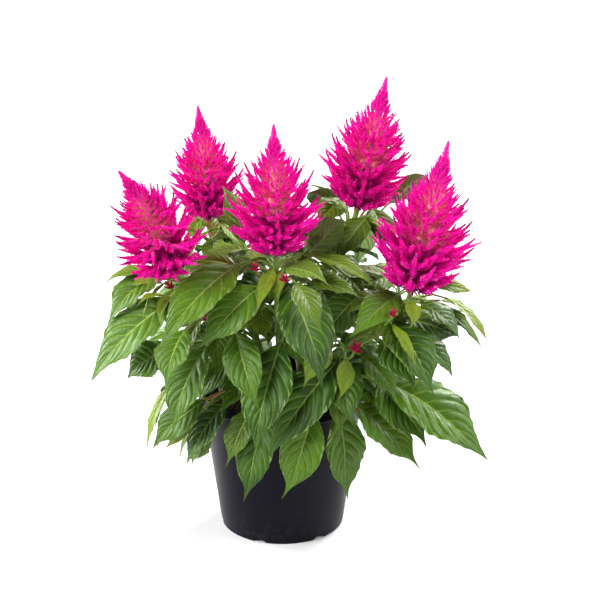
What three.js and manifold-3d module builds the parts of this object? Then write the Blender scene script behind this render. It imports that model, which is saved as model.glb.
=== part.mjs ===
// A plume celosia in its 12 cm nursery pot: pot, root ball, five leafy stems, five plumes and side buds.
// Millimetres, +Z up, and the plant's front faces -Y. The origin is on the floor, under the middle of the whole
// plant as seen from above. Every place below is given from the middle of the pot's base.
// Every leaf, plume finger and bud floret is a thin closed loft, joined to what it grows from.

import * as THREE from 'three';
import { mergeVertices } from 'three/addons/utils/BufferGeometryUtils.js';
import Module from 'manifold-3d';

const wasm = await Module();
wasm.setup();

// ---- Driving dimensions ----

const GAP = 0.3; // clearance between pieces that touch
const MIDDLE = [7, 10]; // x and y of the plant's middle, from the middle of the pot's base

const POT = {
  height: 105, base: 44, top: 57.6, rim: 60, rimHeight: 7, wall: 1.3, foot: 3, floor: 4.5, sides: 32,
  rimFlare: 0.8, rimRound: 1.2, rimWidth: 2.6, ledge: 1.5,
};
const NOTCH = { count: 6, radius: 5.7, sunk: 2.7, firstDegrees: 8, sides: 8 };
const DRAIN = { count: 5, radius: 4, circle: 29, sides: 6 };

const SOIL = { top: 93, edge: 2, rings: [36, 18], lump: 1.3, sides: 16 };

const STEM = {
  foot: 3, tip: 2, sides: 6, steps: 7, rise: 46, collar: 3,
  hole: 84, holeRadius: 3.7, holeSides: 8, lowestNode: 9, highestNode: 7,
};

// name, where the stem leaves the soil (x, y), plume base (x, y, z), plume tip (x, y, z)
const STEMS = [
  ['left', [-15, -8], [-75, -38, 208], [-108, -62, 286]],
  ['back_left', [-11, 13], [-53, 42, 218], [-59, 40, 301]],
  ['centre', [-1, -13], [-4, -28, 216], [-5, -24, 307]],
  ['back_right', [12, 14], [54, 48, 223], [74, 52, 319]],
  ['right', [16, -7], [90, -30, 189], [114, -22, 295]],
];

const LEAF = {
  thick: 0.9, fold: 0.42, curl: 0.24, wave: 0.09, waves: 3, waveOffset: 0.35, twist: 14, twistFrom: 0.3,
  petiole: 1.25, petioleTip: 0.9, longPetiole: 26, arch: 0.16, liftArch: 0.25, outward: 0.5,
  widest: 0.8, point: 1.3,
};
// where the rings of a blade stand along it, for blades under each width
const BLADE_RINGS = [
  [14, [0.2, 0.56]],
  [21, [0.14, 0.38, 0.65]],
  [28, [0.12, 0.34, 0.58, 0.81]],
  [Infinity, [0.12, 0.3, 0.48, 0.66, 0.84]],
];
// how a petiole or stalk leaves its stem: its slope below the heel, and the rise and place of its first bend
const BRANCH = { drop: 0.35, rise: 0.35, bend: 0.3 };

// stem, blade heel (x, y, z), blade tip (x, y, z), blade width, roll about the blade's length in degrees
const LEAVES = [
  // the apron of long leaves that hangs over the front of the pot
  [2, [4, -44, 200], [30, -94, 144], 38, 0],
  [2, [0, -54, 160], [-20, -92, 94], 35, 0],
  [4, [40, -50, 146], [-11, -82, 85], 34, 0],
  [4, [23, -62, 112], [4, -77, 52], 30, 0],
  [2, [-10, -57, 113], [-19, -62, 47], 27, 0],
  [2, [-20, -57, 112], [-37, -76, 76], 21, 0],
  [4, [37, -52, 112], [41, -60, 43], 29, 0],
  // the left shoulder and the leaves under it
  [2, [-28, -34, 210], [-82, -90, 171], 36, -8],
  [2, [-13, -52, 201], [-55, -80, 163], 31, -8],
  [0, [-71, -44, 189], [-129, -62, 138], 37, -15],
  [0, [-80, -22, 200], [-115, -46, 166], 31, -10],
  [0, [-51, -58, 159], [-76, -78, 103], 32, -8],
  [0, [-65, -62, 173], [-75, -86, 138], 28, 0],
  [0, [-80, -40, 198], [-94, -68, 181], 9, 50],
  [0, [-85, -24, 201], [-122, -26, 187], 16, 0],
  [0, [-79, -55, 194], [-95, -73, 190], 10, 0],
  [0, [-68, -30, 198], [-48, -35, 205], 12, 0],
  [0, [-72, -30, 146], [-108, -42, 130], 26, -15],
  [0, [-38, -49, 112], [-66, -62, 71], 29, 0],
  [0, [-50, -42, 114], [-90, -60, 83], 14, 0],
  [0, [-52, -38, 106], [-79, -50, 75], 12, 0],
  [0, [-76, -34, 122], [-95, -46, 71], 12, 0],
  [0, [-24, -34, 148], [-61, -47, 111], 30, 0],
  // young leaves round the foot of the middle plume
  [2, [-5, -36, 207], [-16, -74, 191], 11, 0],
  [2, [1, -40, 206], [-4, -62, 190], 7, 0],
  [2, [3, -34, 206], [32, -60, 207], 19, 0],
  [2, [-13, -42, 179], [-12, -54, 160], 16, 0],
  [2, [-26, -44, 164], [-24, -54, 142], 9, 0],
  [2, [13, -12, 208], [66, -64, 203], 17, 0],
  [2, [18, -34, 196], [55, -54, 193], 19, 0],
  [2, [15, 5, 203], [41, 10, 226], 25, 0],
  [2, [-26, 4, 211], [-43, 12, 254], 22, 80],
  [2, [-26, -8, 211], [-59, -8, 201], 18, 0],
  [2, [-29, -26, 204], [-65, -14, 199], 15, 0],
  // the right shoulder and the leaves under it
  [4, [73, -42, 125], [143, -66, 76], 41, 14],
  [4, [76, -54, 175], [103, -80, 132], 36, 10],
  [4, [49, -50, 112], [96, -66, 70], 29, 10],
  [4, [82, -24, 184], [48, -84, 177], 25, 0],
  [4, [77, -37, 171], [113, -50, 171], 20, 0],
  [4, [95, -42, 184], [125, -58, 167], 26, 0],
  [4, [100, -18, 177], [141, -30, 144], 20, 0],
  [4, [111, -16, 176], [136, -14, 163], 12, 0],
  [4, [95, 12, 177], [134, 8, 177], 11, 0],
  [4, [105, 20, 175], [131, 26, 186], 12, 0],
  [4, [91, -28, 152], [121, -40, 129], 24, 10],
  [4, [75, -60, 176], [90, -88, 155], 10, 0],
  [4, [74, -36, 171], [47, -46, 160], 16, 0],
  [4, [79, -5, 187], [44, -10, 201], 12, 0],
  [4, [54, -36, 188], [28, -46, 159], 27, 0],
  [4, [54, -50, 149], [80, -64, 121], 26, 0],
  [4, [44, -61, 151], [42, -78, 128], 13, 0],
  // round the feet of the two plumes behind
  [3, [61, 38, 219], [39, 10, 196], 22, 0],
  [3, [60, 44, 217], [82, 12, 207], 16, 0],
  [3, [70, 78, 213], [106, 90, 226], 15, 0],
  [3, [43, 76, 215], [15, 86, 229], 15, 0],
  [1, [-45, 30, 213], [-61, 12, 208], 10, 0],
];

// tiers of leaves set out by rule: how many, arc in degrees from +X through +Y, heel radius and height,
// tip radius and height, blade width
const TIERS = [
  // full-grown leaves round the back
  [6, -8, 188, 62, 116, 98, 66, 33],
  [6, 4, 176, 60, 150, 112, 112, 34],
  [5, 12, 168, 66, 182, 114, 152, 33],
  [5, 24, 156, 40, 200, 90, 186, 30],
  // inner leaves that close the crown over the pot
  [5, 188, 352, 34, 130, 74, 112, 32],
  [4, 195, 345, 26, 160, 64, 142, 30],
  [4, 200, 340, 24, 190, 58, 176, 26],
  [4, 20, 160, 22, 158, 66, 158, 30],
];

// how far a tier's leaves stray from their places: degrees, radians, millimetres and a share of the width
const STRAY = { angle: 14, swing: 0.3, drop: 14, width: 0.24 };

const BEND = {
  clearance: 1.6, above: 14, room: 1.5, potRoom: 2.6, lifts: [0, 3, 6, 9, 12, 16, 20, 24],
  rimInside: 5, soilRoom: 3, ownRows: 4, budRoom: 1,
};

const PLUME = {
  columns: 7, rows: 13, bellied: 7, top: 0.96, crowding: 1.05, turn: 0.31, core: 0.08, coreTaper: 0.6,
  reach: 0.52, floret: 0.05, taper: 1.15, footCut: 0.45, footShare: 0.07, stray: 0.24,
  fingerRadius: 0.027, thinning: 0.4, belly: 0.45, bend: 0.14,
  lowest: 24, steepen: 52, steepening: 0.75, sway: 0.14,
};
// the plume's outline: height above its base and reach from its axis, as shares of its length
const PLUME_OUTLINE = [
  [0, 0.2], [0.1, 0.35], [0.2, 0.4], [0.35, 0.4], [0.5, 0.3], [0.7, 0.17], [0.85, 0.08], [1, 0.03],
];

// stem, foot of the bud (x, y, z), size
const BUDS = [
  [2, [-17, -46, 209], 7],
  [2, [2, -56, 205], 7],
  [0, [-75, -46, 196], 7],
  [0, [-60, -41, 195], 8],
  [0, [-49, -60, 178], 7],
  [4, [50, -62, 156], 9],
  [4, [75, -62, 182], 6],
  [4, [48, -64, 114], 8],
];
const STALK = { foot: 1.1, tip: 0.8, sides: 4, steps: 2 };
const BUD = {
  sides: 4, foot: 0.14, waist: 0.24, waistHeight: 0.4, lean: 0.65, rise: 0.75,
  floret: 0.5, floretRadius: 0.12, floretHeight: 0.3, belly: 0.36, bend: 0.2,
};

const TURN = 2 * Math.PI;

// ---- Finishes ----

const finish = (color, roughness) => new THREE.MeshStandardMaterial({ color, roughness, metalness: 0 });
const BLACK_PLASTIC = finish(0x1c1a1d, 0.45);
const PEAT = finish(0x3a2a1e, 0.95);
const LEAF_GREEN = finish(0x3f6b24, 0.5);
const MAGENTA = finish(0xd6007a, 0.7);
const BUD_RED = finish(0xb0124e, 0.7);

// ---- Vectors, lofts and solids ----

const vec = (x, y, z) => new THREE.Vector3(x, y, z);
const UP = vec(0, 0, 1);
const radians = THREE.MathUtils.degToRad;

/** A repeatable scatter value from 0 to 1 for a pair of numbers. */
function scatter(i, j) {
  return THREE.MathUtils.euclideanModulo(Math.sin(12.9898 * i + 78.233 * j) * 43758.5453, 1);
}

/** Skins rings of equal point counts, caps the first and closes the last on a tip point. */
function loft(rings, tip) {
  const count = rings[0].length;
  const last = (rings.length - 1) * count;
  const index = [];
  for (let row = 0; row < last; row += count) {
    for (let i = 0; i < count; i += 1) {
      const next = (i + 1) % count;
      const [a, b, c, d] = [row + i, row + next, row + count + i, row + count + next];
      // the two halves of a ring are split along mirrored diagonals, so a blade's faces match
      if (i < count / 2) index.push(a, b, d, a, d, c);
      else index.push(a, b, c, b, d, c);
    }
  }
  for (let i = 1; i + 1 < count; i += 1) index.push(0, i + 1, i);
  for (let i = 0; i < count; i += 1) index.push(last + i, last + ((i + 1) % count), last + count);
  const geometry = new THREE.BufferGeometry().setFromPoints([...rings.flat(), tip]);
  geometry.setIndex(index);
  return geometry;
}

/** Turns a closed geometry into a manifold solid. */
function solid(geometry) {
  geometry.deleteAttribute('normal');
  geometry.deleteAttribute('uv');
  const merged = mergeVertices(geometry, 1e-3);
  const corners = merged.index.array;
  const kept = [];
  for (let i = 0; i < corners.length; i += 3) {
    const [a, b, c] = [corners[i], corners[i + 1], corners[i + 2]];
    if (a !== b && b !== c && c !== a) kept.push(a, b, c);
  }
  return new wasm.Manifold(new wasm.Mesh({
    numProp: 3,
    vertProperties: new Float32Array(merged.attributes.position.array),
    triVerts: new Uint32Array(kept),
  }));
}

const joined = (solids) => solids.reduce((whole, piece) => whole.add(piece));
const cut = (body, tools) => tools.reduce((rest, tool) => rest.subtract(tool), body);

/** A named mesh with the skin of a manifold solid. */
function meshOf(name, body, material) {
  const skin = body.getMesh();
  const geometry = new THREE.BufferGeometry();
  geometry.setAttribute('position', new THREE.BufferAttribute(new Float32Array(skin.vertProperties), 3));
  geometry.setIndex(new THREE.BufferAttribute(new Uint32Array(skin.triVerts), 1));
  const mesh = new THREE.Mesh(geometry, material);
  mesh.name = name;
  return mesh;
}

/** A regular ring of points about a centre, counterclockwise about the direction. */
function ring(centre, direction, radius, sides, reference = vec(0, 1, 0)) {
  const across = reference.clone().cross(direction).normalize();
  const over = direction.clone().cross(across).normalize();
  return Array.from({ length: sides }, (_, i) => centre.clone()
    .addScaledVector(across, radius * Math.cos((TURN * i) / sides))
    .addScaledVector(over, radius * Math.sin((TURN * i) / sides)));
}

/** An upright cylinder from z = low to z = high. */
function post(x, y, low, high, radius, sides) {
  const geometry = new THREE.CylinderGeometry(radius, radius, high - low, sides);
  return solid(geometry.rotateX(Math.PI / 2).translate(x, y, (low + high) / 2));
}

/** A solid of revolution about Z from [radius, height] pairs. */
function turned(profile, sides) {
  const points = profile.map(([radius, height]) => new THREE.Vector2(radius, height));
  return new THREE.LatheGeometry(points, sides).rotateX(Math.PI / 2);
}

// ---- Pot ----

const outerRadius = (z) => POT.base + ((POT.top - POT.base) * z) / (POT.height - POT.rimHeight);
const innerRadius = (z) => outerRadius(z) - POT.wall;

function pot() {
  const shoulder = POT.height - POT.rimHeight;
  const floorTop = POT.floor + POT.wall;
  const body = solid(turned([
    [0, POT.floor], [POT.base - POT.foot, POT.floor], [POT.base - POT.foot, 0], [POT.base, 0],
    [outerRadius(shoulder), shoulder], [POT.rim, shoulder + POT.rimFlare],
    [POT.rim, POT.height - POT.rimRound], [POT.rim - POT.rimRound, POT.height],
    [POT.rim - POT.rimWidth, POT.height], [innerRadius(shoulder), shoulder - POT.ledge],
    [innerRadius(floorTop), floorTop], [0, floorTop],
  ], POT.sides));
  const notches = Array.from({ length: NOTCH.count }, (_, i) => {
    const angle = radians(NOTCH.firstDegrees) + (TURN * i) / NOTCH.count;
    const cutter = new THREE.CylinderGeometry(NOTCH.radius, NOTCH.radius, 3 * POT.foot, NOTCH.sides);
    return solid(cutter.rotateZ(Math.PI / 2).translate(POT.base, 0, -NOTCH.sunk).rotateZ(angle));
  });
  const drains = Array.from({ length: DRAIN.count }, (_, i) => {
    const angle = (TURN * i) / DRAIN.count;
    const [x, y] = [DRAIN.circle * Math.cos(angle), DRAIN.circle * Math.sin(angle)];
    return post(x, y, 0, 2 * POT.floor, DRAIN.radius, DRAIN.sides);
  });
  return cut(body, [...notches, ...drains]);
}

// ---- Root ball, with a plain hole for each stem ----

/** Two crossed waves that lift and sink the top of the soil, from about -1.6 to 1.6. */
const lumps = (x, y) => Math.sin(0.31 * x + 1.7) * Math.cos(0.27 * y) + 0.6 * Math.sin(0.63 * x - 0.41 * y);

function soil() {
  const low = POT.floor + POT.wall + GAP;
  const side = (z) => innerRadius(z) - GAP;
  const edge = SOIL.top - SOIL.edge;
  const ball = turned([
    [0, low], [side(low) - GAP, low], [side(edge), edge],
    ...SOIL.rings.map((radius) => [radius, SOIL.top]), [0, SOIL.top],
  ], SOIL.sides);
  const places = ball.attributes.position;
  for (let i = 0; i < places.count; i += 1) {
    const [x, y, z] = [places.getX(i), places.getY(i), places.getZ(i)];
    if (z > edge + GAP) places.setZ(i, z + SOIL.lump * lumps(x, y));
  }
  return cut(solid(ball), STEMS.map(([, [x, y]]) =>
    post(x, y, STEM.hole - GAP, POT.height, STEM.holeRadius, STEM.holeSides)));
}

// ---- Stems ----

/** The stem's path above the soil: upright at the soil, in line with its plume at the top. */
function stemPath([, [x, y], base, tip]) {
  const axis = vec(...tip).sub(vec(...base)).normalize();
  const top = vec(...base).addScaledVector(axis, -GAP);
  const start = vec(x, y, SOIL.top + STEM.collar);
  return new THREE.CubicBezierCurve3(
    start, start.clone().addScaledVector(UP, STEM.rise), top.clone().addScaledVector(axis, -STEM.rise), top);
}

const PATHS = STEMS.map(stemPath);

/** The rings of a round rod along a curve, tapered from foot to tip. */
function rod(curve, steps, foot, tip, sides) {
  return Array.from({ length: steps + 1 }, (_, i) => {
    const t = i / steps;
    return ring(curve.getPoint(t), curve.getTangent(t), THREE.MathUtils.lerp(foot, tip, t), sides);
  });
}

function stemSolid(number) {
  const [x, y] = STEMS[number][1];
  const foot = ring(vec(x, y, STEM.hole), UP, STEM.foot, STEM.sides);
  const rings = rod(PATHS[number], STEM.steps, STEM.foot, STEM.tip, STEM.sides);
  return solid(loft([foot, ...rings], PATHS[number].getPoint(1)));
}

/** The curve of a petiole or stalk: it leaves its stem upwards and meets its end along a direction. */
function branchCurve(node, end, way) {
  const reach = node.distanceTo(end) / 3;
  const bend = node.clone().lerp(end, BRANCH.bend).addScaledVector(UP, BRANCH.rise * reach);
  return new THREE.CubicBezierCurve3(node, bend, end.clone().addScaledVector(way, -reach), end);
}

/** Where a petiole or stalk leaves its stem: a little lower than what it carries. */
function nodeOnStem(number, heel) {
  const [, [x, y], [, , top]] = STEMS[number];
  const height = THREE.MathUtils.clamp(heel.z - BRANCH.drop * Math.hypot(heel.x - x, heel.y - y),
    SOIL.top + STEM.lowestNode, top - STEM.highestNode);
  let low = 0;
  let high = 1;
  while (high - low > 1e-4) {
    const middle = (low + high) / 2;
    if (PATHS[number].getPoint(middle).z < height) low = middle;
    else high = middle;
  }
  return PATHS[number].getPoint(low);
}

// ---- Leaves ----

/** The direction a blade's upper face looks: up and outwards, square to the blade's length. */
function upperFace(heel, along, roll) {
  const sky = vec(heel.x, heel.y, 0).setLength(LEAF.outward).add(UP);
  return sky.addScaledVector(along, -sky.dot(along)).normalize().applyAxisAngle(along, radians(roll));
}

/** Shapes a leaf: its curves, its width and its phase, with the blade lifted along its upper face. */
function leafShape([stem, heelAt, tipAt, width, roll], number, lift) {
  const heel = vec(...heelAt);
  const chord = vec(...tipAt).sub(heel);
  const length = chord.length();
  const face = upperFace(heel, chord.clone().normalize(), roll);
  const tip = vec(...tipAt).addScaledVector(face, lift);
  const middle = heel.clone().add(tip).multiplyScalar(0.5)
    .addScaledVector(face, LEAF.arch * length + LEAF.liftArch * lift);
  const blade = new THREE.QuadraticBezierCurve3(heel, middle, tip);
  const onAxis = nodeOnStem(stem, heel);
  const node = onAxis.clone().add(heel.clone().sub(onAxis).setLength(STEM.tip / 2));
  const petiole = branchCurve(node, heel, blade.getTangent(0));
  const side = face.clone().cross(chord).normalize();
  const twist = LEAF.twist * (2 * scatter(number, 1) - 1);
  return { stem, blade, petiole, width, side, twist, phase: scatter(number, 2) };
}

/** Half the blade's width at t along the midrib: t to one power times (1 - t) to another, over its peak. */
function halfWidth({ width }, t) {
  const peak = LEAF.widest / (LEAF.widest + LEAF.point);
  const shape = (s) => s ** LEAF.widest * (1 - s) ** LEAF.point;
  return (width / 2) * (shape(t) / shape(peak));
}

/** The blade's frame at t: the midrib point, the way across and the way up from the upper face. */
function bladeFrame(leaf, t) {
  const along = leaf.blade.getTangent(t);
  const across = leaf.side.clone().applyAxisAngle(along, radians(leaf.twist * (t - LEAF.twistFrom)));
  return { at: leaf.blade.getPoint(t), across, over: along.clone().cross(across).normalize() };
}

/** How far the blade rises from its midrib, as a share of its half width: folded, curled and waved. */
function bladeRise({ phase }, t, v) {
  const edge = Math.abs(v);
  const turns = LEAF.waves * t + phase + (v > 0 ? LEAF.waveOffset : 0);
  return LEAF.fold * edge - LEAF.curl * edge * edge + LEAF.wave * edge ** 3 * Math.sin(TURN * turns);
}

/** A point of the blade at t along and v across, moved up by a thickness. */
function bladePoint(leaf, t, v, raised) {
  const { at, across, over } = bladeFrame(leaf, t);
  const half = halfWidth(leaf, t);
  return at.addScaledVector(across, v * half).addScaledVector(over, half * bladeRise(leaf, t, v) + raised);
}

/** The direction of the blade's upper face at t along and v across. */
function bladeNormal(leaf, t, v) {
  const { across, over } = bladeFrame(leaf, t);
  const slope = Math.sign(v) * (LEAF.fold - 2 * LEAF.curl * Math.abs(v));
  return over.addScaledVector(across, -slope).normalize();
}

/** A leaf as one solid: six-cornered rings that run from a thin round petiole into a flat blade. */
function leafSolid(leaf) {
  const { petiole, side, width } = leaf;
  const long = petiole.getPoint(0).distanceTo(petiole.getPoint(1)) > LEAF.longPetiole;
  const stalk = (long ? [0, 0.55, 1] : [0, 1]).map((t) => {
    const radius = THREE.MathUtils.lerp(LEAF.petiole, LEAF.petioleTip, t);
    const along = petiole.getTangent(t);
    const across = side.clone().addScaledVector(along, -side.dot(along)).normalize();
    const over = along.clone().cross(across);
    return Array.from({ length: 6 }, (_, i) => petiole.getPoint(t)
      .addScaledVector(across, radius * Math.cos((TURN * (i + 0.5)) / 6))
      .addScaledVector(over, radius * Math.sin((TURN * (i + 0.5)) / 6)));
  });
  const half = LEAF.thick / 2;
  const [, stations] = BLADE_RINGS.find(([under]) => width < under);
  const blade = stations.map((t) => [
    ...[1, 0, -1].map((v) => bladePoint(leaf, t, v, half)),
    ...[-1, 0, 1].map((v) => bladePoint(leaf, t, v, -half)),
  ]);
  return solid(loft([...stalk, ...blade], leaf.blade.getPoint(1)));
}

// ---- Bending leaves clear of what is already there ----

const SAMPLES = {
  petiole: [0.2, 0.35, 0.5, 0.65, 0.8, 0.95],
  along: [0.08, 0.2, 0.32, 0.44, 0.56, 0.68, 0.8, 0.92],
  across: [-1, -0.5, 0, 0.5, 1],
  stem: 30, stalk: 12,
};

/** Whether a point is in or too near the pot, its rim or the soil. */
function inPot({ x, y, z }) {
  const radius = Math.hypot(x, y);
  const rimBottom = POT.height - POT.rimHeight - BEND.potRoom;
  if (z > POT.height + BEND.potRoom) return false;
  if (z < rimBottom) return radius < outerRadius(z) + BEND.potRoom;
  if (radius > POT.rim + BEND.potRoom) return false;
  return radius > POT.top - BEND.rimInside || z < SOIL.top + BEND.soilRoom;
}

/** The plume's reach from its axis at a height above its base, both as shares of its length. */
function plumeOutline(height) {
  const i = Math.max(1, PLUME_OUTLINE.findIndex(([step]) => step >= height));
  const [[low, wide], [high, narrow]] = [PLUME_OUTLINE[i - 1], PLUME_OUTLINE[i]];
  return wide + ((narrow - wide) * (height - low)) / (high - low);
}

/** Whether a point is in or too near the outline of a plume. */
function inPlume(point) {
  return STEMS.some(([, , base, tip]) => {
    const axis = vec(...tip).sub(vec(...base));
    const length = axis.length();
    axis.normalize();
    const from = point.clone().sub(vec(...base));
    const height = from.dot(axis);
    if (height < -BEND.room || height > length + BEND.room) return false;
    const share = THREE.MathUtils.clamp(height / length, 0, 1);
    return from.addScaledVector(axis, -height).length() < length * plumeOutline(share) + BEND.room;
  });
}

/**
 * Sample points of a leaf: its petiole, and its blade with the direction of the upper face at each.
 * The footprint is the reach of one blade sample, half the diagonal of its cell and a little more.
 */
function sampled(leaf) {
  const grid = SAMPLES.along.flatMap((t) => SAMPLES.across.map((v) => [t, v]));
  const skin = grid.map(([t, v]) => bladePoint(leaf, t, v, 0));
  const chord = leaf.blade.getPoint(0).distanceTo(leaf.blade.getPoint(1));
  const cell = [(SAMPLES.along[1] - SAMPLES.along[0]) * chord, leaf.width / (SAMPLES.across.length - 1)];
  return {
    ...leaf,
    skin,
    faces: grid.map(([t, v]) => bladeNormal(leaf, t, v)),
    points: [...SAMPLES.petiole.map((t) => leaf.petiole.getPoint(t)), ...skin, leaf.blade.getPoint(1)],
    outer: skin.slice(BEND.ownRows * SAMPLES.across.length),
    footprint: 0.5 * Math.hypot(...cell) + 0.5 * BEND.clearance,
    ball: new THREE.Sphere().setFromPoints(skin),
  };
}

/** Whether points that pass over or under a leaf's blade lie on both sides of it, or too near it. */
function crosses(points, { skin, faces, footprint }) {
  let below = true;
  let above = true;
  for (const point of points) {
    let nearest = 0;
    let least = Infinity;
    skin.forEach((place, i) => {
      const distance = point.distanceToSquared(place);
      if (distance < least) [nearest, least] = [i, distance];
    });
    const rise = point.clone().sub(skin[nearest]).dot(faces[nearest]);
    const beside = Math.sqrt(Math.max(least - rise * rise, 0));
    if (beside < footprint && Math.abs(rise) < BEND.above) {
      below = below && rise < -BEND.clearance;
      above = above && rise > BEND.clearance;
    }
  }
  return !(below || above);
}

const STALKS = BUDS.map(([stem, foot, size]) => {
  const end = vec(...foot);
  const way = vec(end.x, end.y, 0).setLength(LEAF.outward).add(UP).normalize();
  const curve = branchCurve(nodeOnStem(stem, end), end, way);
  return { stem, curve, way, end, size };
});

/** Whether a leaf's points meet a stem or stalk that isn't its own, or a bud. */
function meetsStems({ stem, points }) {
  const hits = (places, distance) => points.some((p) => places.some((q) => p.distanceTo(q) < distance));
  const otherPaths = PATHS.filter((_, i) => i !== stem);
  const otherStalks = STALKS.filter((stalk) => stalk.stem !== stem);
  return otherPaths.some((path) => hits(path.getPoints(SAMPLES.stem), STEM.foot + BEND.room))
    || otherStalks.some(({ curve }) => hits(curve.getPoints(SAMPLES.stalk), STEM.tip))
    || STALKS.some(({ end, way, size }) =>
      hits([end.clone().addScaledVector(way, size / 2)], 0.6 * size + BEND.budRoom));
}

/** Whether a leaf has room among what is placed already; leaves of one stem may meet near their heels. */
function hasRoom(leaf, placed) {
  if (leaf.points.some((point) => inPot(point) || inPlume(point)) || meetsStems(leaf)) return false;
  return !placed.some((other) => {
    const part = other.stem === leaf.stem ? 'outer' : 'points';
    const apart = other.ball.center.distanceTo(leaf.ball.center) - other.ball.radius - leaf.ball.radius;
    return apart < BEND.above && (crosses(leaf[part], other) || crosses(other[part], leaf));
  });
}

/** The row of a leaf in a tier: its heel and tip stand on two circles, and the nearest stem carries it. */
function tierLeaf([count, from, to, heelRadius, heelHeight, tipRadius, tipHeight, width], i, tier) {
  const stray = (kind, range) => range * (scatter(i, 10 * kind + tier) - 0.5);
  const angle = radians(from + ((to - from) * (i + 0.5)) / count + stray(1, STRAY.angle));
  const swing = angle + stray(2, STRAY.swing);
  const heelAt = [heelRadius * Math.cos(angle), heelRadius * Math.sin(angle), heelHeight];
  const tipAt = [tipRadius * Math.cos(swing), tipRadius * Math.sin(swing), tipHeight + stray(3, STRAY.drop)];
  const heel = vec(...heelAt);
  const away = PATHS.map((path) =>
    Math.min(...path.getPoints(SAMPLES.stem).map((point) => point.distanceTo(heel))));
  return [away.indexOf(Math.min(...away)), heelAt, tipAt, width * (1 + stray(4, STRAY.width)), 0];
}

const ROWS = [
  ...LEAVES,
  ...TIERS.flatMap((tier, k) => Array.from({ length: tier[0] }, (_, i) => tierLeaf(tier, i, k))),
];

/** All leaves, each lifted or lowered by the least that gives it room; one that finds none is left out. */
function placedLeaves() {
  const lifts = BEND.lifts.flatMap((lift) => (lift ? [lift, -lift] : [0]));
  const placed = [];
  ROWS.forEach((row, number) => {
    for (const lift of lifts) {
      const leaf = sampled(leafShape(row, number, lift));
      if (hasRoom(leaf, placed)) {
        placed.push(leaf);
        return;
      }
    }
  });
  return placed;
}

// ---- Plumes and buds ----

/** A three-sided spindle: pointed at its root, widest below its middle, its tip bent towards an axis. */
function spike(root, way, axis, length, radius) {
  const middle = root.clone().addScaledVector(way, BUD.belly * length);
  const onward = way.clone().lerp(axis, BUD.bend).normalize();
  const belly = ring(middle, way, radius, 3, axis);
  const tip = middle.clone().addScaledVector(onward, (1 - BUD.belly) * length);
  const geometry = new THREE.BufferGeometry().setFromPoints([root, ...belly, tip]);
  geometry.setIndex([0, 2, 1, 0, 3, 2, 0, 1, 3, 1, 2, 4, 2, 3, 4, 3, 1, 4]);
  return solid(geometry);
}

/** A finger's slope above the plane across the axis, in radians, at a share of the plume's height. */
const fingerSlope = (share) => radians(PLUME.lowest + PLUME.steepen * share ** PLUME.steepening);

/** A finger's length as a share of the plume's: cut back at the foot, longest just above it, then less. */
function fingerLength(share) {
  const foot = 1 - PLUME.footCut * Math.exp(-share / PLUME.footShare);
  return Math.max(PLUME.reach * (1 - share) ** PLUME.taper * foot, PLUME.floret);
}

/** The core's radius as a share of the plume's height. */
const coreRadius = (share) => PLUME.core * (1 - share) ** PLUME.coreTaper;

/**
 * A plume: its core is a lattice of rows, each turned by half a cell, and every cell is drawn out into a
 * finger that leans up along the axis. The lower fingers swell to a belly; those of the spire are points.
 */
function plume([, , baseAt, tipAt], number) {
  const base = vec(...baseAt);
  const axis = vec(...tipAt).sub(base);
  const height = axis.length();
  axis.normalize();
  const across = vec(0, 1, 0).cross(axis).normalize();
  const over = axis.clone().cross(across);
  const { columns, rows, bellied } = PLUME;
  const outward = (turns) => across.clone().multiplyScalar(Math.cos(TURN * turns))
    .addScaledVector(over, Math.sin(TURN * turns));
  const at = (share, turns) => base.clone().addScaledVector(axis, share * height)
    .addScaledVector(outward(turns), coreRadius(share) * height);
  const rowShare = (row) => PLUME.top * (row / rows) ** PLUME.crowding;
  const turnsAt = (row, column) => (column + row / 2 + PLUME.turn * number) / columns;

  const points = [];
  const index = [];
  const add = (point) => points.push(point) - 1;
  const knots = Array.from({ length: rows + 1 }, (_, row) =>
    Array.from({ length: columns }, (__, column) => add(at(rowShare(row), turnsAt(row, column)))));
  const foot = add(base.clone());
  const tip = add(vec(...tipAt));

  /** Draws the cell at a row and column out into a finger. */
  function finger(row, column) {
    const next = (column + 1) % columns;
    const cell = [knots[row][column], knots[row][next], knots[row + 1][next], knots[row + 1][column]];
    const jitter = scatter(columns * row + column, 50 + number) - 0.5;
    const share = (rowShare(row) + rowShare(row + 1)) / 2;
    const turns = turnsAt(row, column + 0.75);
    const slope = fingerSlope(share) + PLUME.sway * jitter;
    const way = outward(turns).multiplyScalar(Math.cos(slope)).addScaledVector(axis, Math.sin(slope));
    const root = at(share, turns);
    const length = height * fingerLength(share) * (1 + PLUME.stray * jitter);
    if (row >= bellied) {
      const apex = add(root.addScaledVector(way, length));
      cell.forEach((corner, k) => index.push(corner, cell[(k + 1) % 4], apex));
      return;
    }
    const waist = root.clone().addScaledVector(way, PLUME.belly * length);
    const radius = height * PLUME.fingerRadius * (1 - PLUME.thinning * share);
    const belly = cell.map((corner) => {
      const spread = points[corner].clone().sub(root);
      spread.addScaledVector(way, -spread.dot(way)).setLength(radius);
      return add(waist.clone().add(spread));
    });
    const onward = way.clone().lerp(axis, PLUME.bend).normalize();
    const apex = add(waist.addScaledVector(onward, (1 - PLUME.belly) * length));
    cell.forEach((corner, k) => {
      const beside = (k + 1) % 4;
      index.push(corner, cell[beside], belly[beside], corner, belly[beside], belly[k]);
      index.push(belly[k], belly[beside], apex);
    });
  }

  for (let column = 0; column < columns; column += 1) {
    const next = (column + 1) % columns;
    index.push(foot, knots[0][next], knots[0][column], knots[rows][column], knots[rows][next], tip);
    for (let row = 0; row < rows; row += 1) finger(row, column);
  }
  const geometry = new THREE.BufferGeometry().setFromPoints(points);
  geometry.setIndex(index);
  return solid(geometry);
}

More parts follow.
